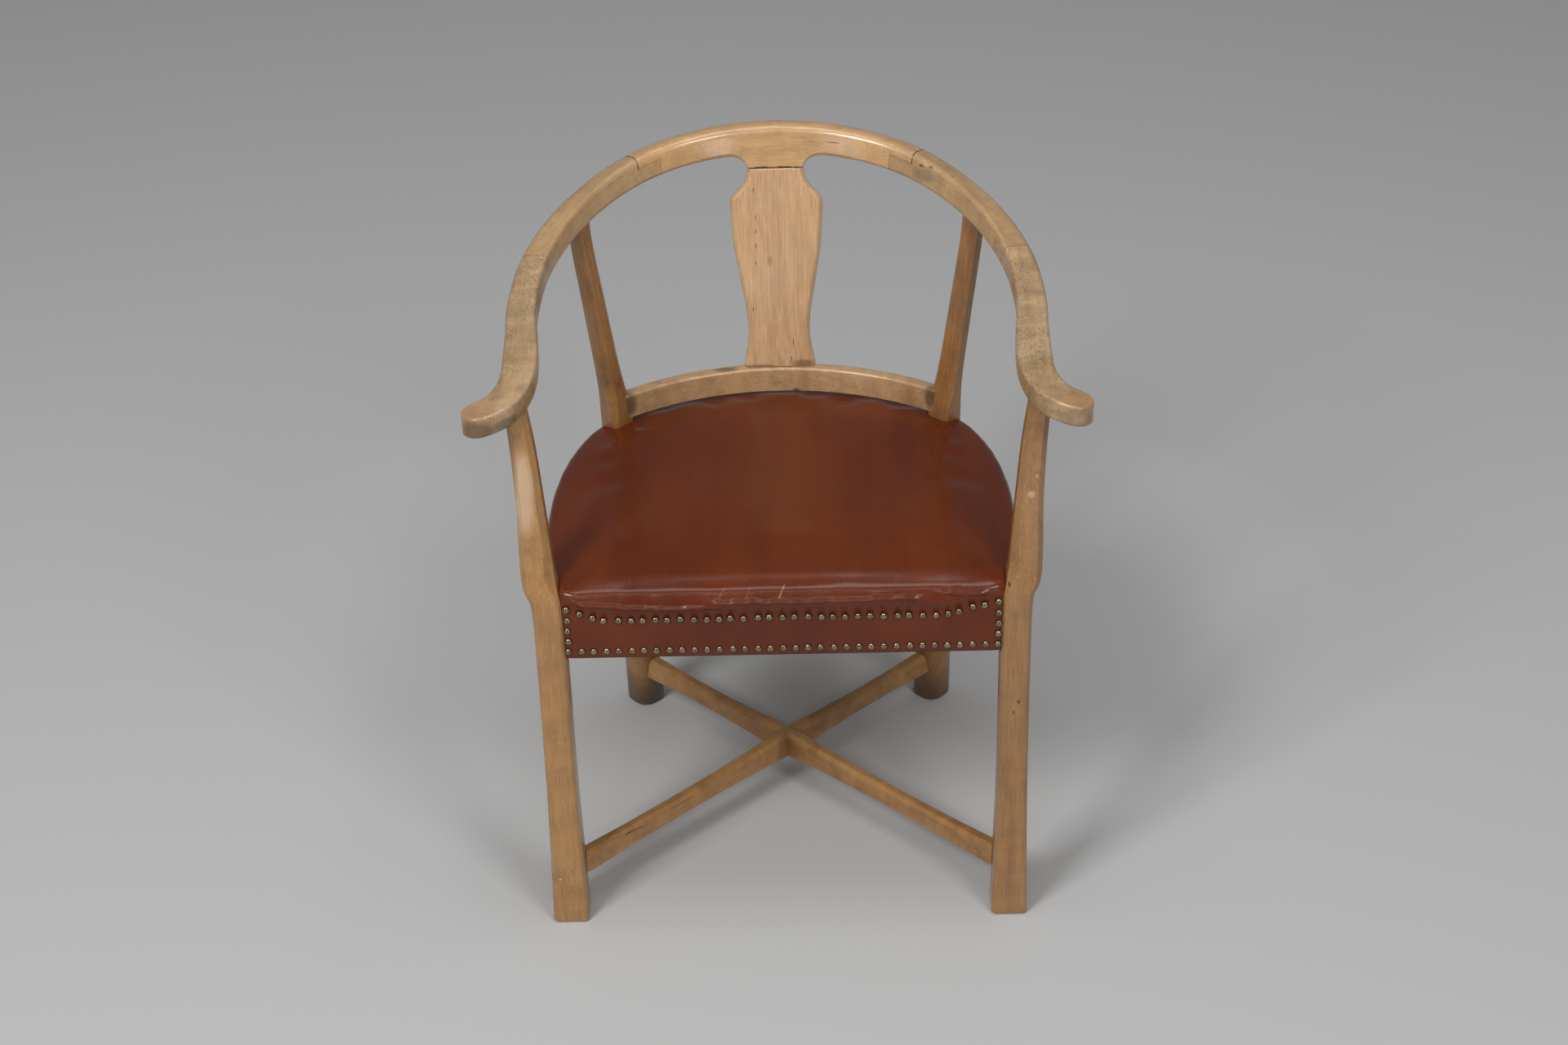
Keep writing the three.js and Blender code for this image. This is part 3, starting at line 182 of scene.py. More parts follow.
class Recipe:
    def __init__(self, name):
        self.material = bpy.data.materials.new(name)
        self.material.use_nodes = True
        self.tree = self.material.node_tree
        self.surface = self.tree.nodes["Principled BSDF"]

    def add(self, kind, settings=None, sockets=None, output=0):
        node = self.tree.nodes.new("ShaderNode" + kind)
        for key, setting in (settings or {}).items():
            if key == "stops":
                ramp = node.color_ramp
                while len(ramp.elements) < len(setting):
                    ramp.elements.new(0.5)
                for element, (position, colour) in zip(ramp.elements, setting):
                    element.position = position
                    element.color = (*colour, 1)
            else:
                setattr(node, key, setting)
        for key, item in (sockets or {}).items():
            feed(self.tree, item, node.inputs[key])
        return Value(self.tree, node.outputs[output])

    def position(self, turn=(0, 0, 0), stretch=(1, 1, 1), shift=(0, 0, 0)):
        point = self.add("TexCoord", output=3)
        turned = self.add("Mapping", None, {"Vector": point, "Rotation": turn, "Location": shift})
        return self.add("VectorMath", {"operation": "MULTIPLY"}, {0: turned, 1: stretch})

    def noise(self, point, scale, detail=3.0, roughness=0.5, distortion=0.0):
        sockets = {
            "Vector": point, "Scale": scale, "Detail": detail,
            "Roughness": roughness, "Distortion": distortion,
        }
        return self.add("TexNoise", None, sockets)

    def between(self, value, low, high, start=0.0, end=1.0):
        sockets = {0: value, 1: low, 2: high, 3: start, 4: end}
        return self.add("MapRange", {"interpolation_type": "SMOOTHSTEP"}, sockets)

    def mix(self, share, first, second, blend="MIX"):
        sockets = {0: share, 6: first, 7: second}
        return self.add("Mix", {"data_type": "RGBA", "blend_type": blend}, sockets, output=2)

    def bump(self, height, strength, distance, normal=None):
        sockets = {"Height": height, "Strength": strength, "Distance": distance}
        if normal is not None:
            sockets["Normal"] = normal
        return self.add("Bump", None, sockets)

    def woven(self, point, scale, distortion):
        """Threads both ways, light on top and dark between."""
        sockets = {"Vector": point, "Scale": scale, "Distortion": distortion}
        warp, weft = (self.add("TexWave", {"bands_direction": way}, sockets, 1) for way in "XY")
        return warp * weft

    def spot(self, where, size, ragged=0.35):
        """1 in the middle of a soft, ragged patch; size is its three half-widths in mm."""
        point = self.add("TexCoord", output=3)
        moved = self.add("VectorMath", {"operation": "SUBTRACT"}, {0: point, 1: place(*where)})
        scaled = self.add("VectorMath", {"operation": "DIVIDE"}, {0: moved, 1: Vector(size) * MM})
        away = self.add("VectorMath", {"operation": "LENGTH"}, {0: scaled}, output=1)
        torn = self.noise(point, 400.0 / max(min(size), 1.0), 3.0, 0.6)
        return self.between(away + (torn - 0.5) * (2 * ragged), 1.0, 0.35)

    def line(self, start, end, half_width, ragged=0.3):
        """1 along a thin line between two points in mm, such as a seam, a crack or a scratch."""
        first, run = place(*start), place(*end) - place(*start)
        point = self.add("TexCoord", output=3)
        ahead = self.add("VectorMath", {"operation": "SUBTRACT"}, {0: point, 1: first})
        along = {0: ahead, 1: run / run.length_squared}
        share = self.add("VectorMath", {"operation": "DOT_PRODUCT"}, along, output=1)
        nearest = self.add("VectorMath", {"operation": "SCALE"}, {0: run, "Scale": share.clamped()})
        away = self.add("VectorMath", {"operation": "DISTANCE"}, {0: ahead, 1: nearest}, output=1)
        torn = self.noise(point, 350.0, 2.0, 0.5)
        return self.between(away / (half_width * MM) + (torn - 0.5) * (2 * ragged), 1.0, 0.5)

    def finish(self, **sockets):
        for key, item in sockets.items():
            feed(self.tree, item, self.surface.inputs[key.replace("_", " ")])
        return self.material


def linear(red, green, blue):
    def one(level):
        level = level / 255
        return level / 12.92 if level <= 0.04045 else ((level + 0.055) / 1.055) ** 2.4

    return (one(red), one(green), one(blue))


# %% [markdown]
# ## Wood
# The chair is a pale hardwood, probably beech or birch, under an old clear lacquer. Close up it shows fine
# fibres along the grain, soft cloudy figure, short dark flecks, and grime where hands and joints are. The
# pattern is made along one axis and the Mapping node turns that axis into each board's own grain.


# %% Wood recipe
def wood(name, pale, deep, turn=(0, 0, 0), shift=(0, 0, 0), cloud=0.5, fleck=0.5, grime=0.3, gloss=0.42,
         speckle=0.0, streak=0.5, blotch=0.35, coat=0.9, marks=(), lines=()):
    recipe = Recipe(name)
    point = recipe.position(turn, (1, 1, 1), shift)
    mottle = recipe.noise(point, 38.0, 5.0, 0.62)
    figure = recipe.noise(recipe.position(turn, (1, 1, 0.12), shift), 50.0, 4.0, 0.6, 0.7)
    bands = recipe.noise(recipe.position(turn, (0.35, 0.35, 1), shift), 90.0, 4.0, 0.6)
    fibre = recipe.noise(recipe.position(turn, (1, 1, 0.025), shift), 760.0, 3.0, 0.6)
    mixed = figure * 0.45 + mottle * blotch + bands * (0.5 * cloud) + fibre * streak
    mixed = mixed - 0.5 * (0.45 + blotch + 0.5 * cloud + streak - 1)
    colour = recipe.mix(recipe.between(mixed, 0.14, 0.86), deep, pale)
    lacquer = recipe.between(recipe.noise(point, 17.0, 3.0, 0.5), 0.4, 0.62)
    colour = recipe.mix(lacquer * 0.4, colour, (1.0, 0.92, 0.78), "MULTIPLY")
    flecks = recipe.noise(recipe.position(turn, (1, 1, 0.09), shift), 420.0, 1.0, 0.4)
    dark = recipe.between(flecks, 0.72, 0.78) * recipe.between(mottle, 0.42, 0.6) * fleck
    colour = recipe.mix(dark, colour, tuple(0.3 * c for c in deep))
    dirt = recipe.noise(point, 15.0, 6.0, 0.7)
    soiled = recipe.between(dirt, 0.5, 0.76) * grime
    colour = recipe.mix(soiled, colour, tuple(0.4 * c for c in deep))
    if speckle:
        dots = recipe.noise(point, 620.0, 2.0, 0.6)
        handled = recipe.between(recipe.noise(point, 24.0, 3.0, 0.6), 0.42, 0.62)
        colour = recipe.mix(recipe.between(dots, 0.52, 0.68) * handled * speckle, colour,
                            tuple(0.35 * c for c in deep))
    for where, size, strength, tint in marks:
        colour = recipe.mix(recipe.spot(where, size) * strength, colour, tint)
    for start, end, half_width, strength, tint in lines:
        colour = recipe.mix(recipe.line(start, end, half_width) * strength, colour, tint)
    worn = recipe.noise(point, 24.0, 4.0, 0.6)
    roughness = recipe.between(worn, 0.3, 0.75, gloss - 0.1, gloss + 0.14)
    pores = fibre * 0.5 + flecks * 0.3 + mottle * 0.4
    return recipe.finish(
        Base_Color=colour,
        Roughness=roughness,
        Normal=recipe.bump(pores, 0.2, 0.0006),
        Coat_Weight=coat,
        Coat_Roughness=0.16,
    )


# %% [markdown]
# ## One way to make every wooden bar
# A rail, leg or splat is a cross-section that changes along a line. Each section here starts as four or more
# corner points, and each corner is rounded with the bevel operator, as a spokeshave would. Neighbouring
# sections are then joined with bridge_loops. A narrow bevel modifier takes the sharpness off what remains.


# %% Sections, bridged
def section(mesh, centre, across, along, corners, steps):
    known = set(mesh.edges)
    start = [mesh.verts.new(centre + across * (u * MM) + along * (v * MM)) for u, v, *_ in corners]
    mesh.faces.new(start)
    for vert, (u, v, radius, *fullness) in zip(start, corners):
        bmesh.ops.bevel(
            mesh, geom=[vert], offset=radius * MM, offset_type="OFFSET", segments=steps,
            profile=0.25 + 0.25 * (fullness[0] if fullness else 1), affect="VERTICES",
            clamp_overlap=True, material=-1,
        )
    return [edge for edge in mesh.edges if edge not in known]


def bar(name, stations, steps=3):
    """Each station is a centre, two directions across, and corners as (across, along, radius) in mm.
    A fourth number in a corner says how round it is, from 0 for a flat bevel to 1."""
    mesh = bmesh.new()
    rings = [section(mesh, *station, steps) for station in stations]
    ends = {edge.link_faces[0] for edge in (rings[0][0], rings[-1][0])}
    between = [face for face in mesh.faces if face not in ends]
    bmesh.ops.delete(mesh, geom=between, context="FACES_ONLY")
    for first, second in zip(rings, rings[1:]):
        bmesh.ops.bridge_loops(mesh, edges=first + second)
    bmesh.ops.recalc_face_normals(mesh, faces=mesh.faces)
    return finished(name, mesh)


def finished(name, mesh):
    data = bpy.data.meshes.new(name)
    for face in mesh.faces:
        face.smooth = True
    mesh.to_mesh(data)
    mesh.free()
    piece = bpy.data.objects.new(name, data)
    bpy.context.collection.objects.link(piece)
    return piece


def applied(piece):
    """The piece's mesh with its modifiers worked in."""
    bpy.context.view_layer.update()
    seen = piece.evaluated_get(bpy.context.evaluated_depsgraph_get())
    data = bpy.data.meshes.new_from_object(seen)
    piece.modifiers.clear()
    old = piece.data
    piece.data = data
    bpy.data.meshes.remove(old)
    return piece


def cut_by(piece, cutters):
    for cutter in cutters:
        carve = piece.modifiers.new("cut", "BOOLEAN")
        carve.operation = "DIFFERENCE"
        carve.solver = "EXACT"
        carve.object = cutter
    applied(piece)
    for cutter in cutters:
        bpy.data.objects.remove(cutter)
    return piece


def eased(piece, width, angle=24, steps=2):
    bevel = piece.modifiers.new("eased edges", "BEVEL")
    bevel.width = width * MM
    bevel.segments = steps
    bevel.limit_method = "ANGLE"
    bevel.angle_limit = math.radians(angle)
    shade = piece.modifiers.new("even shading", "WEIGHTED_NORMAL")
    shade.keep_sharp = True
    shade.weight = 60
    return piece


def stand_for(piece, material, slot, *nodes):
    piece.data.materials.clear()
    piece.data.materials.append(material)
    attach(piece, "root")
    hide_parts(*nodes)
    return piece


def repaint(node, material):
    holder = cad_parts[node]
    holder.data.materials.clear()
    holder.data.materials.append(material)


def eased_table(rows, share):
    """Reads rows of (share, values...), easing smoothly from row to row."""
    if share <= rows[0][0]:
        return rows[0][1:]
    if share >= rows[-1][0]:
        return rows[-1][1:]
    i = max(k for k, row in enumerate(rows) if row[0] <= share)

    def slope(k, column):
        before = rows[max(k - 1, 0)]
        after = rows[min(k + 1, len(rows) - 1)]
        return (after[column] - before[column]) / (after[0] - before[0])

    span = rows[i + 1][0] - rows[i][0]
    t = (share - rows[i][0]) / span
    values = []
    for column in range(1, len(rows[0])):
        rise = rows[i + 1][column] - rows[i][column]
        first = slope(i, column) * span
        second = slope(i + 1, column) * span
        bend = (3 * rise - 2 * first - second) * t * t
        values.append(rows[i][column] + first * t + bend + (first + second - 2 * rise) * t ** 3)
    return values


def steps_between(start, end, count):
    return [start + (end - start) * i / count for i in range(count + 1)]


# %% [markdown]
# ## The line of the top rail
# Seen from above, the rail is half an ellipse round the sitter's back, and then two arms that turn outwards.
# A smooth curve runs through a few points on it. Measured along that curve, the rail's width, height, lean
# and rise change slowly, which is what makes the boards look bent.

# %% Rail line
back_half_width = 269.5
back_depth = 269
back_start = 180
back_height = 761.3
tip_height = 652
tip_reach = 321.5
tip_front = 17
tip_round = 19
rail_width = 30
rail_height = 35.5
arm_shares = [
    (-0.038, 0.245), (-0.057, 0.491), (-0.038, 0.626), (0.057, 0.767), (0.286, 0.896), (0.59, 0.966),
]

plan_half = []
for degrees in range(0, 91, 15):
    turn = math.radians(degrees)
    plan_half.append(Vector((back_half_width * math.sin(turn), back_start + back_depth * math.cos(turn), 0)))
for out, forward in arm_shares:
    plan_half.append(Vector((
        back_half_width + out * (tip_reach - back_half_width),
        back_start + forward * (tip_front - back_start),
        0,
    )))
plan_half.append(Vector((tip_reach, tip_front, 0)))
plan = [Vector((-p.x, p.y, 0)) for p in reversed(plan_half[1:])] + plan_half


def smooth_point(points, t):
    """A point on the smooth curve through the points, and the way that the curve goes there."""
    last = len(points) - 1
    i = min(int(t * last), last - 1)
    w = t * last - i
    p1, p2 = points[i], points[i + 1]
    p0 = points[i - 1] if i > 0 else 2 * p1 - p2
    p3 = points[i + 2] if i + 2 <= last else 2 * p2 - p1
    d0, d1, d2 = (math.sqrt((b - a).length) for a, b in ((p0, p1), (p1, p2), (p2, p3)))
    m1 = ((p1 - p0) / d0 - (p2 - p0) / (d0 + d1) + (p2 - p1) / d1) * d1
    m2 = ((p2 - p1) / d1 - (p3 - p1) / (d1 + d2) + (p3 - p2) / d2) * d1
    a = -3 * p1 + 3 * p2 - 2 * m1 - m2
    b = 2 * p1 - 2 * p2 + m1 + m2
    return p1 + m1 * w + a * w * w + b * w ** 3, (m1 + 2 * a * w + 3 * b * w * w).normalized()


plan_samples = [smooth_point(plan, t)[0] for t in steps_between(0, 1, 1200)]
plan_lengths = [0.0]
for first, second in zip(plan_samples, plan_samples[1:]):
    plan_lengths.append(plan_lengths[-1] + (second - first).length)
rail_half = plan_lengths[-1] / 2

rail_rows = [
    (0, 1, 1, 13, 1, 1.33, 1.33),
    (0.122, 1, 0.93, 12.7, 0.984, 1.2, 1.3),
    (0.264, 1, 0.887, 12, 0.896, 0.95, 1.2),
    (0.42, 1.017, 0.803, 9, 0.698, 0.65, 1.05),
    (0.565, 1.033, 0.76, 5, 0.49, 0.5, 0.85),
    (0.695, 1.067, 0.737, 2, 0.314, 0.45, 0.65),
    (0.825, 1.233, 0.718, 0, 0.165, 0.4, 0.5),
    (0.89, 1.167, 0.718, 0, 0.088, 0.38, 0.42),
    (1, 1.267, 0.69, 0, 0, 0.36, 0.38),
]
under_round = 5
top_round = 9
crest_end = 0.2766 * rail_half
arm_start = 0.565 * rail_half
rear_post_place = 0.404 * rail_half
front_post_place = 0.893 * rail_half


def rail_frame(distance):
    share = min(abs(distance) / rail_half, 1)
    wide, high, lean, rise, inner, outer = eased_table(rail_rows, share)
    length = min(max(rail_half + distance, 0), 2 * rail_half)
    t = float(np.interp(length, plan_lengths, steps_between(0, 1, 1200)))
    centre, tangent = smooth_point(plan, t)
    outward = Vector((-tangent.y, tangent.x, 0)).normalized()
    tilt = math.radians(lean)
    across = outward * math.cos(tilt) - UP * math.sin(tilt)
    along = outward * math.sin(tilt) + UP * math.cos(tilt)
    centre.z = tip_height + rise * (back_height - tip_height)
    rounds = (inner * top_round, outer * top_round)
    return centre, outward, across, along, wide * rail_width, high * rail_height, rounds


print("half the rail's length:", round(rail_half, 1), "mm")

# %% [markdown]
# ## The rail's five boards
# The crest carries a short tongue on its front side, which the splat meets. Its sections have two more
# corners than the others, so that the tongue grows out of the rail in one sweep. Each arm ends in a round
# tip: there the width shrinks like the side of a circle. The boards are lapped: each lies over a tongue of
# the next one, so the seam on top is further out than the one below. A cutter takes each half away.

# %% Crest, shoulders and arms
splat_thickness = 14
tongue_drop = 15
tongue_half_width = 32.3
tongue_fillet = 26
tongue_rows = [(0, 1), (0.05, 0.82), (0.18, 0.52), (0.44, 0.2), (0.7, 0.05), (1, 0)]
joint_gap = 0.3
lap_length = 29.5
lap_rise = 3

crest_centre, _, crest_across, crest_along, crest_width, crest_height, _ = rail_frame(0)
tongue_foot = (
    crest_centre
    + crest_across * (splat_thickness / 2 - crest_width / 2)
    - crest_along * (crest_height / 2 + tongue_drop)
)


def in_scene(point):
    return place(point.x, point.y, point.z)


def rail_station(distance):
    centre, _, across, along, width, height, (inner, outer) = rail_frame(distance)
    into_tip = max(1 - (rail_half - abs(distance)) / tip_round, 0)
    width *= math.sqrt(1 - min(into_tip, 0.985) ** 2)
    u, v = width / 2, height / 2
    corners = [(-u, -v, under_round), (u, -v, under_round), (u, v, outer), (-u, v, inner)]
    return in_scene(centre), across, along, corners


def crest_station(distance):
    centre, _, across, along, width, height, (inner, outer) = rail_frame(distance)
    u, v = width / 2, height / 2
    side = (abs(distance) - tongue_half_width) / tongue_fillet
    share = 1 if side <= 0 else eased_table(tongue_rows, side)[0]
    full_drop = -v - (tongue_foot - centre).dot(crest_along) / along.dot(crest_along)
    drop = share * full_drop
    rear = splat_thickness - u
    corners = [
        (-u, -v - drop, under_round - 2.5 * share),
        (rear, -v - drop, 1.5),
        (rear + 4, -v - 0.35 * drop, 1.5),
        (u, -v, under_round),
        (u, v, outer),
        (-u, v, inner),
    ]
    return in_scene(centre), across, along, corners


def mirrored_copy(piece, name):
    mesh = bmesh.new()
    mesh.from_mesh(piece.data)
    bmesh.ops.scale(mesh, vec=(-1, 1, 1), verts=mesh.verts)
    bmesh.ops.recalc_face_normals(mesh, faces=mesh.faces)
    return finished(name, mesh)


def lap_cutter(end, side, under):
    """The space below or above the lap that ends at this place on the rail."""
    gap = joint_gap / 2
    first = end - lap_length - (gap if under else 4)
    last = end + (4 if under else gap)
    near, far = (lap_rise + gap, -40) if under else (lap_rise - gap, 40)
    stations = []
    for distance in steps_between(first, last, 5):
        centre, _, across, along, width, *_ = rail_frame(distance)
        u = width / 2 + 4
        corners = [(-u, near, 0), (u, near, 0), (u, far, 0), (-u, far, 0)]
        stations.append((in_scene(centre), across, along, corners))
    cutter = bar("lap cutter", stations, 1)
    if side > 0:
        return cutter
    flipped = mirrored_copy(cutter, "lap cutter left")
    bpy.data.objects.remove(cutter)
    return flipped


half = (
    steps_between(0, tongue_half_width, 3)
    + steps_between(tongue_half_width, tongue_half_width + tongue_fillet, 9)[1:]
    + steps_between(tongue_half_width + tongue_fillet, crest_end - joint_gap / 2, 9)[1:]
)
crest_places = [-d for d in reversed(half[1:])] + half
crest = bar("crest", [crest_station(d) for d in crest_places], 4)
cut_by(crest, [lap_cutter(crest_end, side, True) for side in (1, -1)])

shoulder_places = steps_between(crest_end - lap_length + joint_gap / 2, arm_start - joint_gap / 2, 18)
shoulder_right = bar("shoulder_right", [rail_station(d) for d in shoulder_places], 4)
cut_by(shoulder_right, [lap_cutter(crest_end, 1, False), lap_cutter(arm_start, 1, True)])
shoulder_left = mirrored_copy(shoulder_right, "shoulder_left")

tip_start = rail_half - tip_round
tip_places = [rail_half - (1 - share) * tip_round for share in (0.2, 0.4, 0.58, 0.74, 0.86, 0.94, 1)]
arm_places = steps_between(arm_start - lap_length + joint_gap / 2, tip_start, 28) + tip_places
arm_right = bar("arm_board_right", [rail_station(d) for d in arm_places], 4)
cut_by(arm_right, [lap_cutter(arm_start, 1, False)])
arm_left = mirrored_copy(arm_right, "arm_board_left")
for board in (crest, shoulder_right, shoulder_left, arm_right, arm_left):
    eased(board, 0.3)


def grain(start, end):
    """The turn that lays a board's grain from start to end."""
    return tuple((end - start).rotation_difference(UP).to_euler())


beech = (linear(216, 175, 124), linear(168, 127, 82))
arm_tone = (linear(208, 176, 136), linear(132, 104, 72))
shoulder_tone = (linear(198, 164, 120), linear(151, 117, 78))


def rail_grain(first, second):
    return grain(rail_frame(first)[0], rail_frame(second)[0])


def rail_point(distance, side, u, v):
    centre, _, across, along, width, height, _ = rail_frame(distance)
    point = centre + across * (u * width / 2) + along * (v * height / 2)
    return side * point.x, point.y, point.z


arc_middle = 0.293


def seams(end, side, strength):
    """The thin dark lines of a lap: up the inside, over the rounded top, and along the lap itself."""
    width, height, (inner, outer) = rail_frame(end)[4:]
    u, v = 2 / width, 2 / height
    level = lap_rise * v
    inner_arc, outer_arc = arc_middle * inner, arc_middle * outer
    top = [
        (-1, level), (-1, 1 - inner * v), (-1 + inner_arc * u, 1 - inner_arc * v), (-1 + inner * u, 1),
        (1 - outer * u, 1), (1 - outer_arc * u, 1 - outer_arc * v), (1, 1 - outer * v),
    ]
    places = [rail_point(end, side, *corner) for corner in top]
    lines = [(first, second, 0.9, strength, joint_dirt_and_shade) for first, second in zip(places, places[1:])]
    lines.append((places[0], rail_point(end - lap_length, side, -1, level), 0.6, 0.2 * strength, joint_dirt_and_shade))
    return lines


dark_spot = linear(62, 42, 28)
# Dark joint colour for the lap seams, also used to paint the shade in the gap under the crest's tongue.
joint_dirt_and_shade = linear(34, 26, 20)
# Grime colour for the splat's foot, the shoe rail's ends and the stretchers' crossing, also used to paint
# shade on the rear feet.
dirt_and_shade_brown = linear(62, 45, 28)
# Pale colour for a real worn patch on the right front post, also used to paint a sheen on the left one.
pale_wear_and_sheen = linear(214, 186, 156)
tip_orange = linear(166, 118, 70)
tip_brown = linear(104, 74, 44)
grey_stain = linear(96, 86, 70)
crest_lines = seams(crest_end, 1, 0.85) + seams(crest_end, -1, 0.8)
crest_lines += [
    ((38, 431, 761.8), (58, 427, 763), 0.5, 0.6, dark_spot),
    ((55, 427.5, 763.2), (76, 424, 763), 0.9, 0.8, dark_spot),
]
# Painted shadow: these short dark dashes stand in for the shade in the gap where the tongue meets the splat.
joint_gap_shade_dashes = [
    ((x, 427.5, 733.4), (x + run, 427.5, 733.4), 1.5, 1, joint_dirt_and_shade)
    for x, run in ((-23, 13), (3.5, 14), (22.5, 7))
]
crest_arcs = [(-14, 741, -4, 747), (-4, 747, 8, 748), (8, 748, 18, 743), (-9, 738, 0, 742), (0, 742, 9, 740)]
crest_lines += [((x, 434, z), (x2, 434, z2), 0.8, 0.22, dark_spot) for x, z, x2, z2 in crest_arcs] + joint_gap_shade_dashes
crest_wood = wood(
    "crest wood", *beech, grain(Vector(), SIDEWAYS), (0.1, 0.3, 0), 0.5, 0.3, 0.2, lines=crest_lines
)
stand_for(crest, crest_wood, "rail_wood", "crest_rail")
print("foot of the tongue:", [round(c, 1) for c in tongue_foot])
for board, side, shift in ((shoulder_right, 1, (0.7, 0, 0.2)), (shoulder_left, -1, (0.2, 0.6, 0))):
    name = "right" if side > 0 else "left"
    turn = rail_grain(side * crest_end, side * arm_start)
    marks = [
        ((161.2, 378.4, 755.6), (4, 6, 2.2), 0.85, dark_spot),
        ((171.7, 372.4, 756.5), (3, 5, 2), 0.7, dark_spot),
        ((166, 374, 746), (22, 22, 11), 0.45, grey_stain),
    ]
    lines = seams(crest_end, side, 0.85) + seams(arm_start, side, 0.35)
    material = wood(f"shoulder wood {name}", *shoulder_tone, turn, shift, 0.8, 0.4, 0.35, speckle=0.35,
                    marks=marks if side > 0 else (), lines=lines)
    stand_for(board, material, "rail_wood", f"shoulder_rail_{name}")
arm_stains = {
    "right": ((285, 22, 655), (20, 20, 8), 0.3, grey_stain),
    "left": ((-272, 18, 652), (26, 22, 9), 0.7, grey_stain),
}
for board, side, shift in ((arm_right, 1, (0.4, 0.1, 0)), (arm_left, -1, (0, 0.9, 0.5))):
    name = "right" if side > 0 else "left"
    turn = rail_grain(side * arm_start, side * rail_half * 0.85)
    handled = ((side * 314, 12, 668), (36, 30, 12), 0.55, tip_orange)
    darkened = ((side * 306, 3, 650), (42, 17, 17), 0.9 if side < 0 else 0.4, tip_brown)
    material = wood(f"arm wood {name}", *arm_tone, turn, shift, 0.9, 0.5, 0.4, speckle=0.9, streak=0.2,
                    coat=0.6, marks=[handled, darkened, arm_stains[name]],
                    lines=seams(arm_start, side, 0.35))
    stand_for(board, material, "rail_wood", f"arm_{name}")

# %% [markdown]
# ## The splat
# A board 14 mm thick, cut to a vase shape and rounded along its edges. It leaves the shoe rail nearly
# upright and leans back to meet the tongue square, so its centre line is a shallow curve.

# %% Splat
splat_top_width = 64
splat_waist = 70.5
splat_shoulder = 104.3
splat_foot_width = 83
splat_edge = 4.5
shoe_bottom = 468
shoe_height = 30
shoe_thickness = 18
shoe_front = 384
splat_set_back = 4

splat_top = tongue_foot - crest_along * 0.6
splat_foot = Vector((0, shoe_front + splat_set_back + splat_thickness / 2, shoe_bottom + shoe_height + 0.3))
splat_height = splat_top.z - splat_foot.z
splat_bend = crest_along.y / crest_along.z
mean_slope = (splat_top.y - splat_foot.y) / splat_height


def part_way(low, high, share):
    return low + share * (high - low)


def width_rows(low, high, shares):
    return [(height, part_way(low, high, share)) for height, share in shares]


lower_shares = ((0.06, 0.6), (0.11, 0.23))
middle_shares = (
    (0.23, 0.02), (0.31, 0.13), (0.41, 0.37), (0.515, 0.61), (0.61, 0.815), (0.71, 0.93), (0.79, 0.99),
)
upper_shares = ((0.86, 0.92), (0.876, 0.735), (0.899, 0.48), (0.923, 0.235), (0.96, 0.06))
splat_rows = [(0, splat_foot_width)] + width_rows(splat_waist, splat_foot_width, lower_shares)
splat_rows += [(0.18, splat_waist)] + width_rows(splat_waist, splat_shoulder, middle_shares)
splat_rows += [(0.838, splat_shoulder)] + width_rows(splat_top_width, splat_shoulder, upper_shares)
splat_rows += [(1, splat_top_width)]


def splat_station(share):
    height = share * splat_height
    bend = splat_bend - mean_slope
    start = 2 * mean_slope - splat_bend
    slope = 0 if share == 0 else math.atan(start + 2 * bend * share)
    y = splat_foot.y + start * height + bend * height * share
    across = Vector((0, math.cos(slope), -math.sin(slope)))
    u, v = eased_table(splat_rows, share)[0] / 2, splat_thickness / 2
    corners = [(x, y2, splat_edge, 0) for x, y2 in ((-u, -v), (u, -v), (u, v), (-u, v))]
    return place(0, y, splat_foot.z + height), SIDEWAYS, across, corners


splat_shares = steps_between(0, 0.8, 24) + steps_between(0.8, 1, 16)[1:]
splat = eased(bar("splat", [splat_station(share) for share in splat_shares], 1), 1.6, 20)
splat_lines = [
    ((x, y, z - height), (x + 0.6, y, z + height), 0.7, 0.85, dark_spot)
    for x, y, z, height in (
        (-25.7, 421.5, 709, 6), (-23.8, 415.1, 676.7, 5), (-24.2, 412, 660.8, 2.5), (-24.6, 408.8, 643.8, 5),
        (-25.1, 405.3, 623.8, 3), (-29.4, 396.7, 568.5, 3), (15.5, 391.4, 527.7, 7), (13, 389, 508, 3),
    )
]
splat_marks = [
    ((-8.4, 405.6, 627), (4, 6, 11), 0.4, grey_stain),
    ((26, 388, 502), (20, 10, 7), 0.55, dirt_and_shade_brown),
    ((-24, 388, 499), (26, 10, 4), 0.5, dirt_and_shade_brown),
]
splat_tone = (linear(222, 183, 140), linear(174, 134, 93))
splat_wood = wood(
    "splat wood", *splat_tone, grain(splat_foot, splat_top), (0.5, 0.2, 0.3), 0.1, 0.35, 0.12, 0.36,
    streak=0.8, blotch=0.15, marks=splat_marks, lines=splat_lines + joint_gap_shade_dashes,
)
stand_for(splat, splat_wood, "rail_wood", "back_splat")
print("splat:", round(splat_height, 1), "mm from the shoe rail to the crest")

# %% [markdown]
# ## Legs
# Front legs taper up from a square foot to the knee at seat height, then lean out and back as thinner posts
# with a bevel on the front inner corner. Rear legs are turned to face the middle of the seat. The posts end
# inside the rail, where their tenons are.

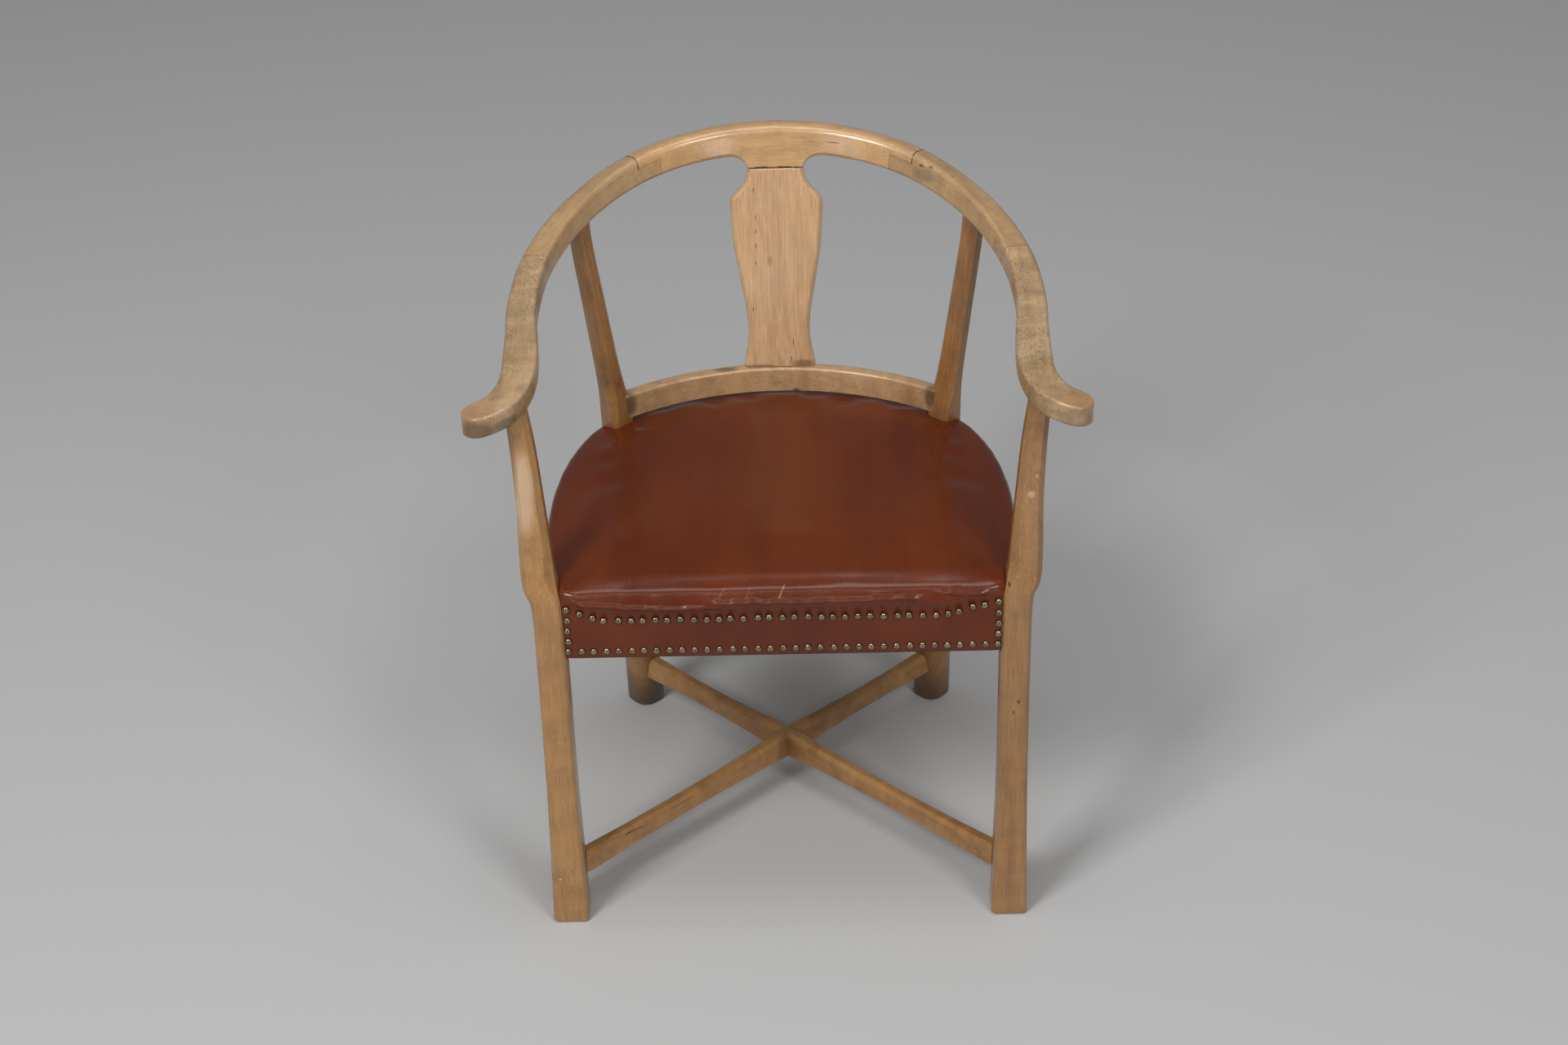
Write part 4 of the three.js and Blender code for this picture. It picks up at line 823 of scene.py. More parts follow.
# %% Front legs
front_leg_x = 248
front_foot = (40.5, 40)
front_leg = (32, 36)
knee_height = 442
knee_x = front_leg_x + 1.5
leg_arris = 3.5
post_arris = 6
foot_ease = 3
front_top = rail_frame(front_post_place)[0]
leg_taper = [(0, 0), (0.272, 0.64), (0.454, 0.9), (0.816, 1), (0.984, 1)]
post_rows = [
    (0.03, 0.2, 0.023, 35.4, 34, 5),
    (0.1, 0.32, 0.13, 35.3, 29.5, 10),
    (0.22, 0.38, 0.25, 33.7, 25.9, 8),
    (0.47, 0.49, 0.476, 28.7, 23.9, 7),
    (0.75, 0.69, 0.755, 25.7, 22.4, 6),
    (0.95, 0.92, 0.95, 23, 21.6, 5.5),
]
leg_rows = []
for height, share in leg_taper:
    x = knee_x if height > 0.9 else front_leg_x
    width = part_way(front_foot[0], front_leg[0], share)
    depth = part_way(front_foot[1], front_leg[1], share)
    leg_rows.append((height * knee_height, x, 0, width, depth, leg_arris, leg_arris))
for height, out, back, width, depth, bevel in post_rows:
    leg_rows.append((
        part_way(knee_height, front_top.z, height),
        part_way(knee_x, front_top.x, out),
        part_way(front_leg[1] / 2, front_top.y, back) - depth / 2,
        width, depth, bevel, post_arris,
    ))


def front_leg_station(z, inset=0.0):
    x, front, width, depth, inner, outer = eased_table(leg_rows, z)
    u, v = width / 2 - inset, depth / 2 - inset
    corners = [(-u, -v, inner), (u, -v, outer), (u, v, leg_arris), (-u, v, leg_arris)]
    return place(x, front + depth / 2, z), SIDEWAYS, BACKWARDS, corners


leg_heights = (
    steps_between(foot_ease, 410, 16)
    + steps_between(418, 490, 16)
    + steps_between(498, leg_rows[-1][0], 9)
)
leg_stations = [front_leg_station(0, 0.7 * foot_ease)] + [front_leg_station(z) for z in leg_heights]
front_leg_right = bar("front_leg_dressed_right", leg_stations, 1)
front_leg_left = mirrored_copy(front_leg_right, "front_leg_dressed_left")
pale_fleck = linear(226, 208, 184)
# Painted light and shade: both front legs are one wood, the left tone paler as if lit and the right darker as
# if in shade.
lit_and_shaded_leg_tones = {
    "right": (linear(175, 130, 79), linear(121, 84, 48)),
    "left": (linear(190, 143, 87), linear(134, 96, 54)),
}
leg_marks = {
    "left": [
        ((-257.2, 0.5, 63.9), (1.6, 3, 1.6), 0.9, pale_fleck),
        # Painted highlight: this tall pale patch down the left post's front stands in for the lacquer's sheen.
        ((-266, 26, 560), (14, 14, 100), 0.55, pale_wear_and_sheen),
    ],
    "right": [
        ((267.3, 24, 569.4), (2.5, 6, 4), 0.8, pale_fleck),
        ((261.6, 22, 549.7), (6, 7, 6), 0.5, pale_wear_and_sheen),
        ((239.4, 4.6, 450), (2, 5, 4), 0.9, dark_spot),
        ((252, 0, 300), (2.5, 4, 4), 0.8, dark_spot),
        ((247, 0, 286), (2, 4, 4), 0.7, dark_spot),
    ],
}
leg_cracks = {"left": (), "right": [((249, 13, 490), (266, 14, 492), 0.8, 0.7, dark_spot)]}
front_pair = ((front_leg_right, "right", (0.3, 0.5, 0.1)), (front_leg_left, "left", (0.8, 0, 0.6)))
for leg, name, shift in front_pair:
    eased(leg, 0.9, 20)
    material = wood(f"front leg wood {name}", *lit_and_shaded_leg_tones[name], (0, 0, 0), shift, 0.25, 0.5, 0.4,
                    streak=0.6, coat=0.6, marks=leg_marks[name], lines=leg_cracks[name])
    stand_for(leg, material, "leg_wood", f"front_leg_{name}")
print("sections in a front leg:", len(leg_stations))

# %% [markdown]
# ## Rear legs
# The foot is nearly round. Further up the chamfers narrow, and above the seat the post is almost square.

# %% Rear legs
rear_foot = Vector((179, 432, 0))
rear_foot_side = 40.5
rear_seat = Vector((187, 336.5, 470))
rear_leg_side = 31
leg_turn = math.radians(43)
front_arris = 2.5
rear_across = Vector((math.cos(leg_turn), -math.sin(leg_turn), 0))
rear_outward = Vector((math.sin(leg_turn), math.cos(leg_turn), 0))
rear_frame = rail_frame(rear_post_place)
rear_top = rear_frame[0] + rear_frame[1] * 4
lower_rows = [(0.17, 0.25, 14, 1), (0.4255, 0.583, 11, 0.8), (0.766, 0.833, 7, 0.4), (1, 1, 5, 0)]
upper_rows = [
    (0.116, 0.11, -0.18, 26.8, 5),
    (0.25, 0.27, -0.06, 24.3, 5),
    (0.49, 0.547, 0.35, 22.7, 4.5),
    (0.85, 0.95, 0.98, 21, 4),
    (1, 1, 1, 20.8, 4),
]
foot_round = rear_foot_side / 2 - 5
rear_rows = [(foot_ease, rear_foot.x, rear_foot.y, rear_foot_side, foot_round, 1)]
for height, taper, bevel, fullness in lower_rows:
    centre = rear_foot.lerp(rear_seat, height)
    side = part_way(rear_foot_side, rear_leg_side, taper)
    rear_rows.append((centre.z, centre.x, centre.y, side, bevel, fullness))
for height, out, back, side, bevel in upper_rows:
    rear_rows.append((
        part_way(rear_seat.z, rear_top.z, height),
        part_way(rear_seat.x, rear_top.x, out),
        part_way(rear_seat.y, rear_top.y, back),
        side, bevel, 0,
    ))


def rear_leg_station(z, inset=0.0):
    x, y, side, bevel, fullness = eased_table(rear_rows, z)
    s = side / 2 - inset
    fullness = min(max(fullness, 0), 1)
    front = bevel + front_arris * min(max((z - rear_seat.z) / 30, 0), 1)
    rounds = ((-s, -s, bevel), (s, -s, front), (s, s, bevel), (-s, s, bevel))
    corners = [(u, v, radius, fullness) for u, v, radius in rounds]
    return place(x, y, z), rear_across, rear_outward, corners


rear_heights = steps_between(foot_ease, rear_seat.z, 14) + steps_between(rear_seat.z, rear_top.z - 4, 16)[1:]
rear_stations = [rear_leg_station(0, 0.7 * foot_ease)] + [rear_leg_station(z) for z in rear_heights]
rear_leg_right = bar("rear_leg_dressed_right", rear_stations, 4)
rear_leg_left = mirrored_copy(rear_leg_right, "rear_leg_dressed_left")
rear_tone = (linear(176, 126, 73), linear(118, 80, 41))
for leg, name, shift in ((rear_leg_right, "right", (0.1, 0.7, 0.3)), (rear_leg_left, "left", (0.6, 0.3, 0))):
    eased(leg, 0.9, 27)
    side = -1 if name == "left" else 1
    # Painted shade: the rear feet under the seat are darkened, most on the left.
    foot = ((side * 179, 432, 0), (50, 50, 84 - side * 14), 0.8 - 0.1 * side, dirt_and_shade_brown)
    post = [Vector((side * p.x, p.y, p.z)) for p in (rear_seat, rear_top)]
    material = wood(f"rear leg wood {name}", *rear_tone, grain(*post), shift, 0.25, 0.5, 0.5,
                    streak=0.6, coat=0.5, marks=[foot])
    stand_for(leg, material, "dark_wood", f"rear_leg_{name}")
print("sections in a rear leg:", len(rear_stations))

# %% [markdown]
# ## Shoe rail
# The shoe rail is an arc between the rear posts, rounded on its back upper corner.


# %% Shoe rail
def arc_through(middle_y, end_x, end_y):
    drop = middle_y - end_y
    radius = (end_x * end_x + drop * drop) / (2 * drop)
    return radius, middle_y - radius, math.asin(end_x / radius)


shoe_middle = shoe_bottom + shoe_height / 2
shoe_leg = rear_foot.lerp(rear_seat, shoe_middle / rear_seat.z)
shoe_forward = 4.5
shoe_radius, shoe_centre_y, shoe_end = arc_through(
    shoe_front + shoe_thickness / 2, shoe_leg.x, shoe_leg.y - shoe_forward
)


def shoe_station(angle):
    outward = Vector((math.sin(angle), math.cos(angle), 0))
    u, v = shoe_thickness / 2, shoe_height / 2
    corners = [(-u, -v, 1.5), (u, -v, 1.5), (u, v, 7), (-u, v, 3)]
    centre = place(shoe_radius * math.sin(angle), shoe_centre_y + shoe_radius * math.cos(angle), shoe_middle)
    return centre, outward, UP, corners


shoe_reach = shoe_end - 9 / shoe_radius
shoe = eased(bar("shoe", [shoe_station(a) for a in steps_between(-shoe_reach, shoe_reach, 30)], 4), 0.3)
shoe_tone = (linear(212, 173, 128), linear(158, 121, 83))
shoe_marks = [((side * 172, 332, 486), (12, 12, 22), 0.7, dirt_and_shade_brown) for side in (-1, 1)]
shoe_marks += [((-64, 384, 499), (20, 8, 4), 0.6, dark_spot), ((18, 384, 469), (6, 5, 5), 0.8, dark_spot)]
stand_for(shoe, wood("shoe wood", *shoe_tone, grain(Vector(), SIDEWAYS), (0.2, 0.2, 0.2), 0.8, 0.4, 0.6,
                     speckle=0.4, marks=shoe_marks), "leg_wood", "shoe_rail")
print("shoe rail's radius:", round(shoe_radius), "mm")

# %% [markdown]
# ## Stretchers
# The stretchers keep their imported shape, with the half-lap where they cross. A copy of each is merged, its
# flat faces are dissolved into one, and its edges are eased.


# %% Stretchers
def refined(node, name, width):
    mesh = bmesh.new()
    mesh.from_mesh(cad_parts[node].data)
    bmesh.ops.remove_doubles(mesh, verts=mesh.verts, dist=0.01 * MM)
    bmesh.ops.dissolve_limit(
        mesh, angle_limit=math.radians(0.6), use_dissolve_boundaries=False,
        verts=mesh.verts, edges=mesh.edges,
    )
    return eased(finished(name, mesh), width, 24)


stretcher_tone = (linear(190, 142, 86), linear(134, 94, 52))
for name, far_side, shift in (("over", -1, (0.4, 0, 0.8)), ("under", 1, (0, 0.4, 0.1))):
    near = Vector((-far_side * front_leg_x, 20, 64))
    far = Vector((far_side * rear_foot.x, rear_foot.y, 64))
    cracks = [
        ((-186.2, 67.5, 72.5), (-167.4, 85.3, 70.7), 1.1, 1, dark_spot),
        ((-147.4, 104.2, 70.7), (-139.2, 111.8, 69.2), 0.9, 0.9, dark_spot),
        ((-135.5, 115.1, 70.7), (-110.5, 138.3, 70.9), 0.8, 0.75, dark_spot),
    ]
    meeting = ((0, 245, 60), (34, 34, 30), 0.45, dirt_and_shade_brown)
    material = wood(f"stretcher wood {name}", *stretcher_tone, grain(near, far), shift, 0.9, 0.6, 0.5,
                    coat=0.3, marks=[meeting], lines=cracks if name == "under" else ())
    stand_for(refined(f"stretcher_{name}", f"stretcher_dressed_{name}", 0.8), material, "dark_wood",
              f"stretcher_{name}")

# %% [markdown]
# ## Inside the seat
# The seat frame, its corner blocks and the dowels are bare wood that shows only from below. They keep their
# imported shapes. The screws are plain steel.

# %% Frame, blocks, dowels and screws
inside_tone = (linear(206, 178, 138), linear(168, 138, 98))
bare = (0.6, 0.3, 0.3, 0.7)
inside_across = wood("inside wood across", *inside_tone, grain(Vector(), SIDEWAYS), (0, 0, 0.4), *bare)
inside_back = wood("inside wood front to back", *inside_tone, grain(Vector(), BACKWARDS), (0.3, 0, 0), *bare)
steel = Recipe("screw steel")
steel_marks = steel.noise(steel.position(), 260.0, 3.0)
steel_metal = steel.finish(
    Base_Color=steel.mix(steel_marks, linear(120, 120, 122), linear(172, 172, 170)),
    Metallic=0.9,
    Roughness=steel.between(steel_marks, 0.3, 0.7, 0.32, 0.55),
)
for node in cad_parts:
    if node.startswith("block_screw"):
        repaint(node, steel_metal)
    elif node.startswith("side_seat_rail"):
        repaint(node, inside_back)
    elif node.endswith("seat_rail") or node.startswith(("corner_block", "crest_dowel", "arm_dowel")):
        repaint(node, inside_across)

# %% [markdown]
# ## Webbing
# Jute straps are interlaced over the open frame and carry the stuffing. Each strap lies flat on the rails
# at its ends and passes over and under the straps that it crosses. Real webbing has two stripes along it;
# these straps have none.

# %% Straps
frame_top = 436
strap_width = 50
strap_thickness = 1.6
strap_wave = 1.1
strap_level = frame_top + 0.3 + strap_thickness / 2
strap_landing = 28
long_straps = (-100, 0, 100)
cross_straps = (95, 185, 275)

jute = Recipe("jute webbing")
threads = jute.position()
weave = jute.woven(threads, 210.0, 1.2)
fuzz = jute.noise(threads, 700.0, 4.0, 0.7)
jute_cloth = jute.finish(
    Base_Color=jute.mix(weave * 0.6 + fuzz * 0.4, linear(112, 92, 60), linear(186, 162, 118)),
    Roughness=0.92,
    Normal=jute.bump(weave + fuzz * 0.5, 0.5, 0.0008),
)


def strap(name, node, is_long, crossings, starts_over):
    low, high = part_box(node)
    along_axis = 1 if is_long else 0
    start, end = low[along_axis] / MM, high[along_axis] / MM
    origin = front_face / MM if is_long else 0
    rows = [(start - origin, 0), (start - origin + strap_landing, 0)]
    for i, crossing in enumerate(crossings):
        side = strap_wave if (i % 2 == 0) == starts_over else -strap_wave
        rows += [(crossing - strap_width / 2 + 2, side), (crossing + strap_width / 2 - 2, side)]
    rows += [(end - origin - strap_landing, 0), (end - origin, 0)]
    middle = (low[0] + high[0]) / 2 / MM if is_long else ((low[1] + high[1]) / 2 - front_face) / MM
    u, v = strap_width / 2 - 0.6, strap_thickness / 2 - 0.05
    corners = [(x, y, 0.5) for x, y in ((-u, -v), (u, -v), (u, v), (-u, v))]
    stations = []
    for run in steps_between(rows[0][0], rows[-1][0], 44):
        z = strap_level + eased_table(rows, run)[0] * 0.95
        centre = place(middle, run, z) if is_long else place(run, middle, z)
        stations.append((centre, SIDEWAYS if is_long else BACKWARDS, UP, corners))
    piece = bar(name, stations, 1)
    return stand_for(piece, jute_cloth, "webbing", node)


for i, x in enumerate(long_straps):
    strap(f"strap_long_{i + 1}", f"webbing_long_{i + 1}", True, cross_straps, i % 2 == 0)
for i, y in enumerate(cross_straps):
    strap(f"strap_cross_{i + 1}", f"webbing_cross_{i + 1}", False, long_straps, i % 2 == 1)
print("straps:", len(long_straps) + len(cross_straps))

# %% [markdown]
# ## The seat's outline
# Straight across the front between the legs, a full curve along each side, and a flatter arc at the back.
# The hide, the stuffing and the rows of nails all follow this one line.

# %% Seat outline
seat_front = 1
seat_back = 413
seat_side_front = 94
seat_side_rear = 66
seat_side_bulge = 15
leg_at_seat = rear_foot.lerp(rear_seat, frame_top / rear_seat.z)
beside_leg = leg_at_seat + rear_outward * (rear_leg_side / 2 - 2) + rear_across * (rear_leg_side / 2 - 0.5)
behind_leg = leg_at_seat + rear_outward * (rear_leg_side / 2 - 2) - rear_across * (rear_leg_side / 2 - 0.5)
arc_radius, arc_centre_y, arc_end = arc_through(seat_back, behind_leg.x, behind_leg.y)
side_knots = (
    Vector((front_leg_x + 2, front_leg[1] + 1, 0)),
    Vector((front_leg_x + seat_side_bulge, front_leg[1] + seat_side_front, 0)),
    Vector((front_leg_x + seat_side_bulge + 3, beside_leg.y - seat_side_rear, 0)),
    Vector((beside_leg.x, beside_leg.y, 0)),
)


def side_point(t):
    a, b, c, d = side_knots
    w = 1 - t
    point = a * w ** 3 + b * (3 * w * w * t) + c * (3 * w * t * t) + d * t ** 3
    way = (b - a) * (w * w) + (c - b) * (2 * w * t) + (d - c) * (t * t)
    return point, way.normalized()


half_outline = [Vector((x, seat_front, 0)) for x in steps_between(12, front_leg_x - 22, 16)]
front_bend = ((16, 0.6), (9, 4), (4, 11), (0, 23))
half_outline += [Vector((front_leg_x - inward, seat_front + back, 0)) for inward, back in front_bend]
half_outline += [side_point(t)[0] for t in steps_between(0, 1, 30)]
half_outline += [
    Vector((arc_radius * math.sin(a), arc_centre_y + arc_radius * math.cos(a), 0))
    for a in steps_between(arc_end, 0, 16)[:-1]
]
outline = [Vector((0, seat_front, 0))] + half_outline + [Vector((0, seat_back, 0))]
outline += [Vector((-p.x, p.y, 0)) for p in reversed(half_outline)]
print("outline points:", len(outline))

# %% [markdown]
# ## A stuffed shape
# The body of the seat is drawn up from its outline: straight sides, a rolled edge and a low crown. Inset and
# extrude do this in a few moves. The same function makes the hide's outside and the stuffing inside it.

# %% Crowned body
seat_edge_rise = 14.5
seat_crown = 19
seat_rear_lift = 11
crown_y = (seat_front + seat_back) / 2 - 2
edge_rows = [(0, 0), (1.2, 0.45), (4, 0.79), (9, 1)]
crown_rows = [(0.92, 0.28), (0.8, 0.55), (0.6, 0.8), (0.34, 0.96), (0.1, 1)]


def crowned(bottom, inset, lowered, crown=seat_crown):
    mesh = bmesh.new()
    top = mesh.faces.new([mesh.verts.new(place(p.x, p.y, bottom)) for p in outline])
    if inset:
        made = bmesh.ops.inset_region(mesh, faces=[top], thickness=inset * MM, use_even_offset=True)
        bmesh.ops.delete(mesh, geom=made["faces"], context="FACES")

    def drawn_up(face):
        made = bmesh.ops.extrude_face_region(mesh, geom=[face])["geom"]
        return next(item for item in made if isinstance(item, bmesh.types.BMFace))

    def raise_to(height, share):
        for vert in top.verts:
            y = (vert.co.y - front_face) / MM
            lift = max(y - crown_y, 0) * seat_rear_lift / (seat_back - crown_y)
            vert.co.z = (height + share * lift) * MM

    top = drawn_up(top)
    raise_to(frame_top, 0)
    for (before, _), (rolled, rise) in zip(edge_rows, edge_rows[1:]):
        bmesh.ops.inset_region(mesh, faces=[top], thickness=(rolled - before) * MM, use_even_offset=True)
        raise_to(frame_top + rise * seat_edge_rise - lowered, rise)
    middle = Matrix.Translation(-place(0, crown_y, 0))
    before = 1.0
    for scale, rise in crown_rows:
        top = drawn_up(top)
        shrink = scale / before
        bmesh.ops.scale(mesh, vec=(shrink, shrink, 1), verts=top.verts, space=middle)
        raise_to(frame_top + seat_edge_rise + rise * crown - lowered, 1)
        before = scale
    bmesh.ops.holes_fill(mesh, edges=mesh.edges)
    bmesh.ops.recalc_face_normals(mesh, faces=mesh.faces)
    return mesh


def leg_cutters(grown):
    """Fat copies of the legs where they pass the seat."""
    front_heights = steps_between(330, 520, 20)
    rear_heights = steps_between(330, 520, 6)
    cutters = [bar("front cutter", [front_leg_station(z, -grown) for z in front_heights], 1)]
    cutters.append(bar("rear cutter", [rear_leg_station(z, -grown) for z in rear_heights], 2))
    return cutters + [mirrored_copy(cutter, cutter.name + " left") for cutter in cutters]


def opened_below(piece, height, fill):
    mesh = bmesh.new()
    mesh.from_mesh(piece.data)
    everything = mesh.verts[:] + mesh.edges[:] + mesh.faces[:]
    cut = bmesh.ops.bisect_plane(
        mesh, geom=everything, plane_co=(0, 0, height * MM), plane_no=(0, 0, 1), clear_inner=True
    )
    if fill:
        bmesh.ops.holes_fill(mesh, edges=[e for e in mesh.edges if e.is_boundary])
    for face in mesh.faces:
        face.smooth = True
    mesh.to_mesh(piece.data)
    mesh.free()
    return piece


# %% [markdown]
# ## Leather pulled over stuffing
# A flat hide is pulled down over a soft crown until it is tight, so the real shape comes from pressure
# inside and tacks around the edge. Cloth simulation does the same: the sides are held, the top swells, and
# the swelling is capped. It starts from a lower crown, so that it ends at the height of the solid.

# %% The hide swells
hide_bottom = 368
swelling = 4.5
hide = finished("hide", crowned(hide_bottom - 14, 0, 0, seat_crown - swelling))
remesh = hide.modifiers.new("even mesh", "REMESH")
remesh.mode = "VOXEL"
remesh.voxel_size = 7 * MM
remesh.use_smooth_shade = True
applied(hide)
print("hide before swelling:", len(hide.data.vertices), "vertices")

resting = [(vert.co.copy(), vert.normal.copy()) for vert in hide.data.vertices]
held = hide.vertex_groups.new(name="held")
for vert in hide.data.vertices:
    height = vert.co.z / MM
    grip = min(max((frame_top + 14 - height) / 12, 0), 1)
    if grip > 0:
        held.add([vert.index], grip, "REPLACE")
cloth = hide.modifiers.new("leather", "CLOTH")
cloth.settings.quality = 5
cloth.settings.mass = 0.4
cloth.settings.tension_stiffness = 25
cloth.settings.compression_stiffness = 25
cloth.settings.bending_stiffness = 6
cloth.settings.use_pressure = True
cloth.settings.uniform_pressure_force = 4
cloth.settings.effector_weights.gravity = 0
cloth.settings.vertex_group_mass = "held"
cloth.collision_settings.use_collision = False
for frame_number in range(1, 21):
    scene.frame_set(frame_number)
applied(hide)
scene.frame_set(1)
moved = 0.0
for vert, (rest, outward) in zip(hide.data.vertices, resting):
    up_crown = (rest.z / MM - frame_top - seat_edge_rise) / (seat_crown - swelling)
    limit = part_way(1, swelling, min(max(up_crown, 0), 1))
    swell = min(max((vert.co - rest).dot(outward), 0), limit * MM)
    vert.co = rest + outward * swell
    moved = max(moved, swell)
print("hide swelled by up to", round(moved / MM, 1), "mm")

finer = hide.modifiers.new("finer", "SUBSURF")
finer.levels = finer.render_levels = 1
applied(hide)

# %% [markdown]
# ## Signs of the upholsterer
# Along the front, the leather rolls over the edge of the stuffing in a soft, uneven ridge. Below it the top
# row of nails pulls the leather in, most of all at each nail. These are small moves of the vertices, each
# fading out around its middle.

# %% Front roll and nail dimples
knee_inner = knee_x - front_leg[0] / 2
nail_line_x = knee_inner - 5
nail_bottom_row = hide_bottom + 8.5
nail_top_row = 415.7
nail_top_rise = 14.5
left_rise = [(0, 1), (12, 0.62), (27, 0.2), (42, 0)]
right_rise = [(0, 1), (13, 0.83), (27, 0.63), (40, 0.22), (55, 0)]
nails_per_row = 35


def top_row_height(x):
    rise = eased_table(left_rise if x < 0 else right_rise, nail_line_x - abs(x))[0]
    return nail_top_row + nail_top_rise * rise


unevenness = random.Random(5)


def off_by(most):
    return unevenness.uniform(-most, most)


front_xs = steps_between(-nail_line_x, nail_line_x, nails_per_row - 1)
top_nails = [
    (x + off_by(1.4) * (abs(x) < nail_line_x - 5), top_row_height(x) + off_by(0.8))
    for x in front_xs
]
bottom_nails = [(x + off_by(0.5), nail_bottom_row + off_by(0.3)) for x in front_xs]


def bell(distance, width):
    return math.exp(-(distance / width) ** 2)


# Each fold runs along the front as (x, height) points, and fades out at its ends.
folds = (
    ((-226, 438), (-170, 433), (-119, 431), (-62, 431.5)),
    ((-84, 436), (0, 436.3), (80, 436.3), (156, 438.3)),
    ((160, 442), (195, 441.3), (226, 441)),
)


def fold_at(x, z):
    """How far the folds stand out here, with a hollow under each."""
    out = 0.0
    for points in folds:
        start, end = points[0][0], points[-1][0]
        present = min(max((x - start) / 16, 0), 1) * min(max((end - x) / 16, 0), 1)
        if present > 0:
            above = z - float(np.interp(x, [p[0] for p in points], [p[1] for p in points]))
            above += 1.3 * field.noise(Vector((x / 11, 3.1, 0.4)))
            uneven = 1 + 0.5 * field.noise(Vector((x / 14, 0.2, 7.3)))
            raised = min(max((4.5 - above) / 4, 0), 1) if above > 0.5 else bell(above - 0.5, 1.6)
            tall = 2.7 if start < -200 else 2.0
            out += present * uneven * (tall * raised - 0.8 * bell(above + 3.5, 2))
    return out


lip_low, lip_high = 0.422, 0.447
lip_depth = 0.014
lip_half_width = 0.236


def on_lip(vert):
    in_front = vert.co.y < front_face + lip_depth
    return in_front and lip_low < vert.co.z < lip_high and abs(vert.co.x) < lip_half_width


fine_front = bmesh.new()
fine_front.from_mesh(hide.data)
lip_edges = [edge for edge in fine_front.edges if all(on_lip(vert) for vert in edge.verts)]
bmesh.ops.subdivide_edges(fine_front, edges=lip_edges, cuts=3, use_grid_fill=True)
fine_front.to_mesh(hide.data)
fine_front.free()
print("hide with a finer lip:", len(hide.data.polygons), "faces")

roll_height = 2.8
roll_reach = 22
pull_depth = 1.2
ripple_height = 0.9
dimple_depth = 0.8
dimple_width = 5.0
for vert in hide.data.vertices:
    x, y, z = vert.co.x / MM, (vert.co.y - front_face) / MM, vert.co.z / MM
    if y < 60 and z > 395:
        inside = min(max((knee_inner - abs(x)) / 18, 0), 1)
        ripple = field.noise(Vector((x / 21, z / 30, 0.3))) + 0.5 * field.noise(Vector((x / 8, z / 16, 4.1)))
        line = top_row_height(x)
        near_front = bell(max(y, 0), roll_reach)
        lip = z - line - 17
        bulge = roll_height * bell(lip, 5 if lip < 0 else 10) * (1 + 0.3 * ripple)
        pull = pull_depth * bell(z - line - 3, 6)
        vert.co.y -= (bulge - pull + fold_at(x, z)) * near_front * inside * MM
        vert.co.z += ripple_height * ripple * bell(z - line - 26, 9) * near_front * inside * MM
        for nail_x, nail_z in top_nails:
            if abs(nail_x - x) < 12 and abs(nail_z - z) < 14:
                away = math.hypot(nail_x - x, (nail_z - z) * 0.8)
                vert.co.y += dimple_depth * bell(away, dimple_width) * near_front * MM
    slow = field.noise(Vector((x / 70, y / 90, 1.7)))
    if z > frame_top + 14:
        vert.co.z += 0.7 * slow * MM

cut_by(hide, leg_cutters(0.6))
opened_below(hide, hide_bottom, False)
wall = hide.modifiers.new("thickness", "SOLIDIFY")
wall.thickness = 2 * MM
wall.offset = -1
applied(hide)
hide_low = min(v.co.z for v in hide.data.vertices)
print("hide:", len(hide.data.polygons), "faces, lowest", round(hide_low, 4))

# %% [markdown]
# ## Leather
# Smooth, reddish brown and a little glossy. It is dry and scuffed at the front edge, and a very fine grain
# breaks up the highlight.

# %% Leather recipe
leather = Recipe("seat leather")
skin = leather.position()
patches = leather.noise(skin, 7.0, 4.0, 0.55)
streaks = leather.noise(leather.position((0, 0, 0), (1, 0.12, 1)), 26.0, 3.0, 0.5)
pores = leather.noise(skin, 900.0, 4.0, 0.65)
creases = leather.noise(leather.position((0, 0, 0), (1, 0.5, 1)), 160.0, 4.0, 0.6)
spread = leather.between(patches * 0.6 + streaks * 0.4, 0.3, 0.7)
hide_colour = leather.mix(spread, linear(86, 33, 10), linear(104, 43, 12))
speck = leather.between(pores, 0.6, 0.75) * 0.25
hide_colour = leather.mix(speck, hide_colour, linear(66, 30, 17))
axes = leather.tree.nodes.new("ShaderNodeSeparateXYZ")
leather.tree.links.new(skin.socket, axes.inputs[0])
skin_y, skin_z = (Value(leather.tree, axes.outputs[axis]) for axis in "YZ")


def around(value, middle, width):
    """1 at the middle, falling to 0 at the given distance."""
    away = value.maths("ABSOLUTE", value - middle)
    return (1 - away / width).clamped()


edge_y = front_face + 0.012
edge_zone = around(skin_y, edge_y, 0.03) * leather.between(skin_z, 0.436, 0.448)
rubbed = leather.between(leather.noise(leather.position((0, 0, 0), (1, 0.35, 1)), 210.0, 5.0, 0.7), 0.56, 0.7)
wear = (edge_zone * rubbed * 0.22).clamped()
scuff = leather.line((-3, 1, 441), (3, 11, 451), 1.5, 0.8) * 0.75
for start, end in (((-38, 1, 441), (-33, 10, 450)), ((-60, 9, 450), (-66, 2, 442))):
    scuff = scuff + leather.line(start, end, 1.2, 0.9) * 0.3
hide_colour = leather.mix(wear, hide_colour, linear(158, 104, 78))
hide_colour = leather.mix((scuff * 0.6).clamped(), hide_colour, linear(176, 126, 98))
hide_rough = leather.between(patches, 0.3, 0.7, 0.36, 0.5) + wear * 0.1 + creases * 0.06
fine = leather.bump(pores, 0.12, 0.0004)
hide_leather = leather.finish(
    Base_Color=hide_colour,
    Roughness=hide_rough,
    Normal=leather.bump(creases, 0.18, 0.0012, fine),
    Coat_Weight=0.5,
    Coat_Roughness=0.18,
    Specular_IOR_Level=0.12,
)
stand_for(hide, hide_leather, "leather", "seat_leather")
print("nodes in the leather:", len(leather.tree.nodes))

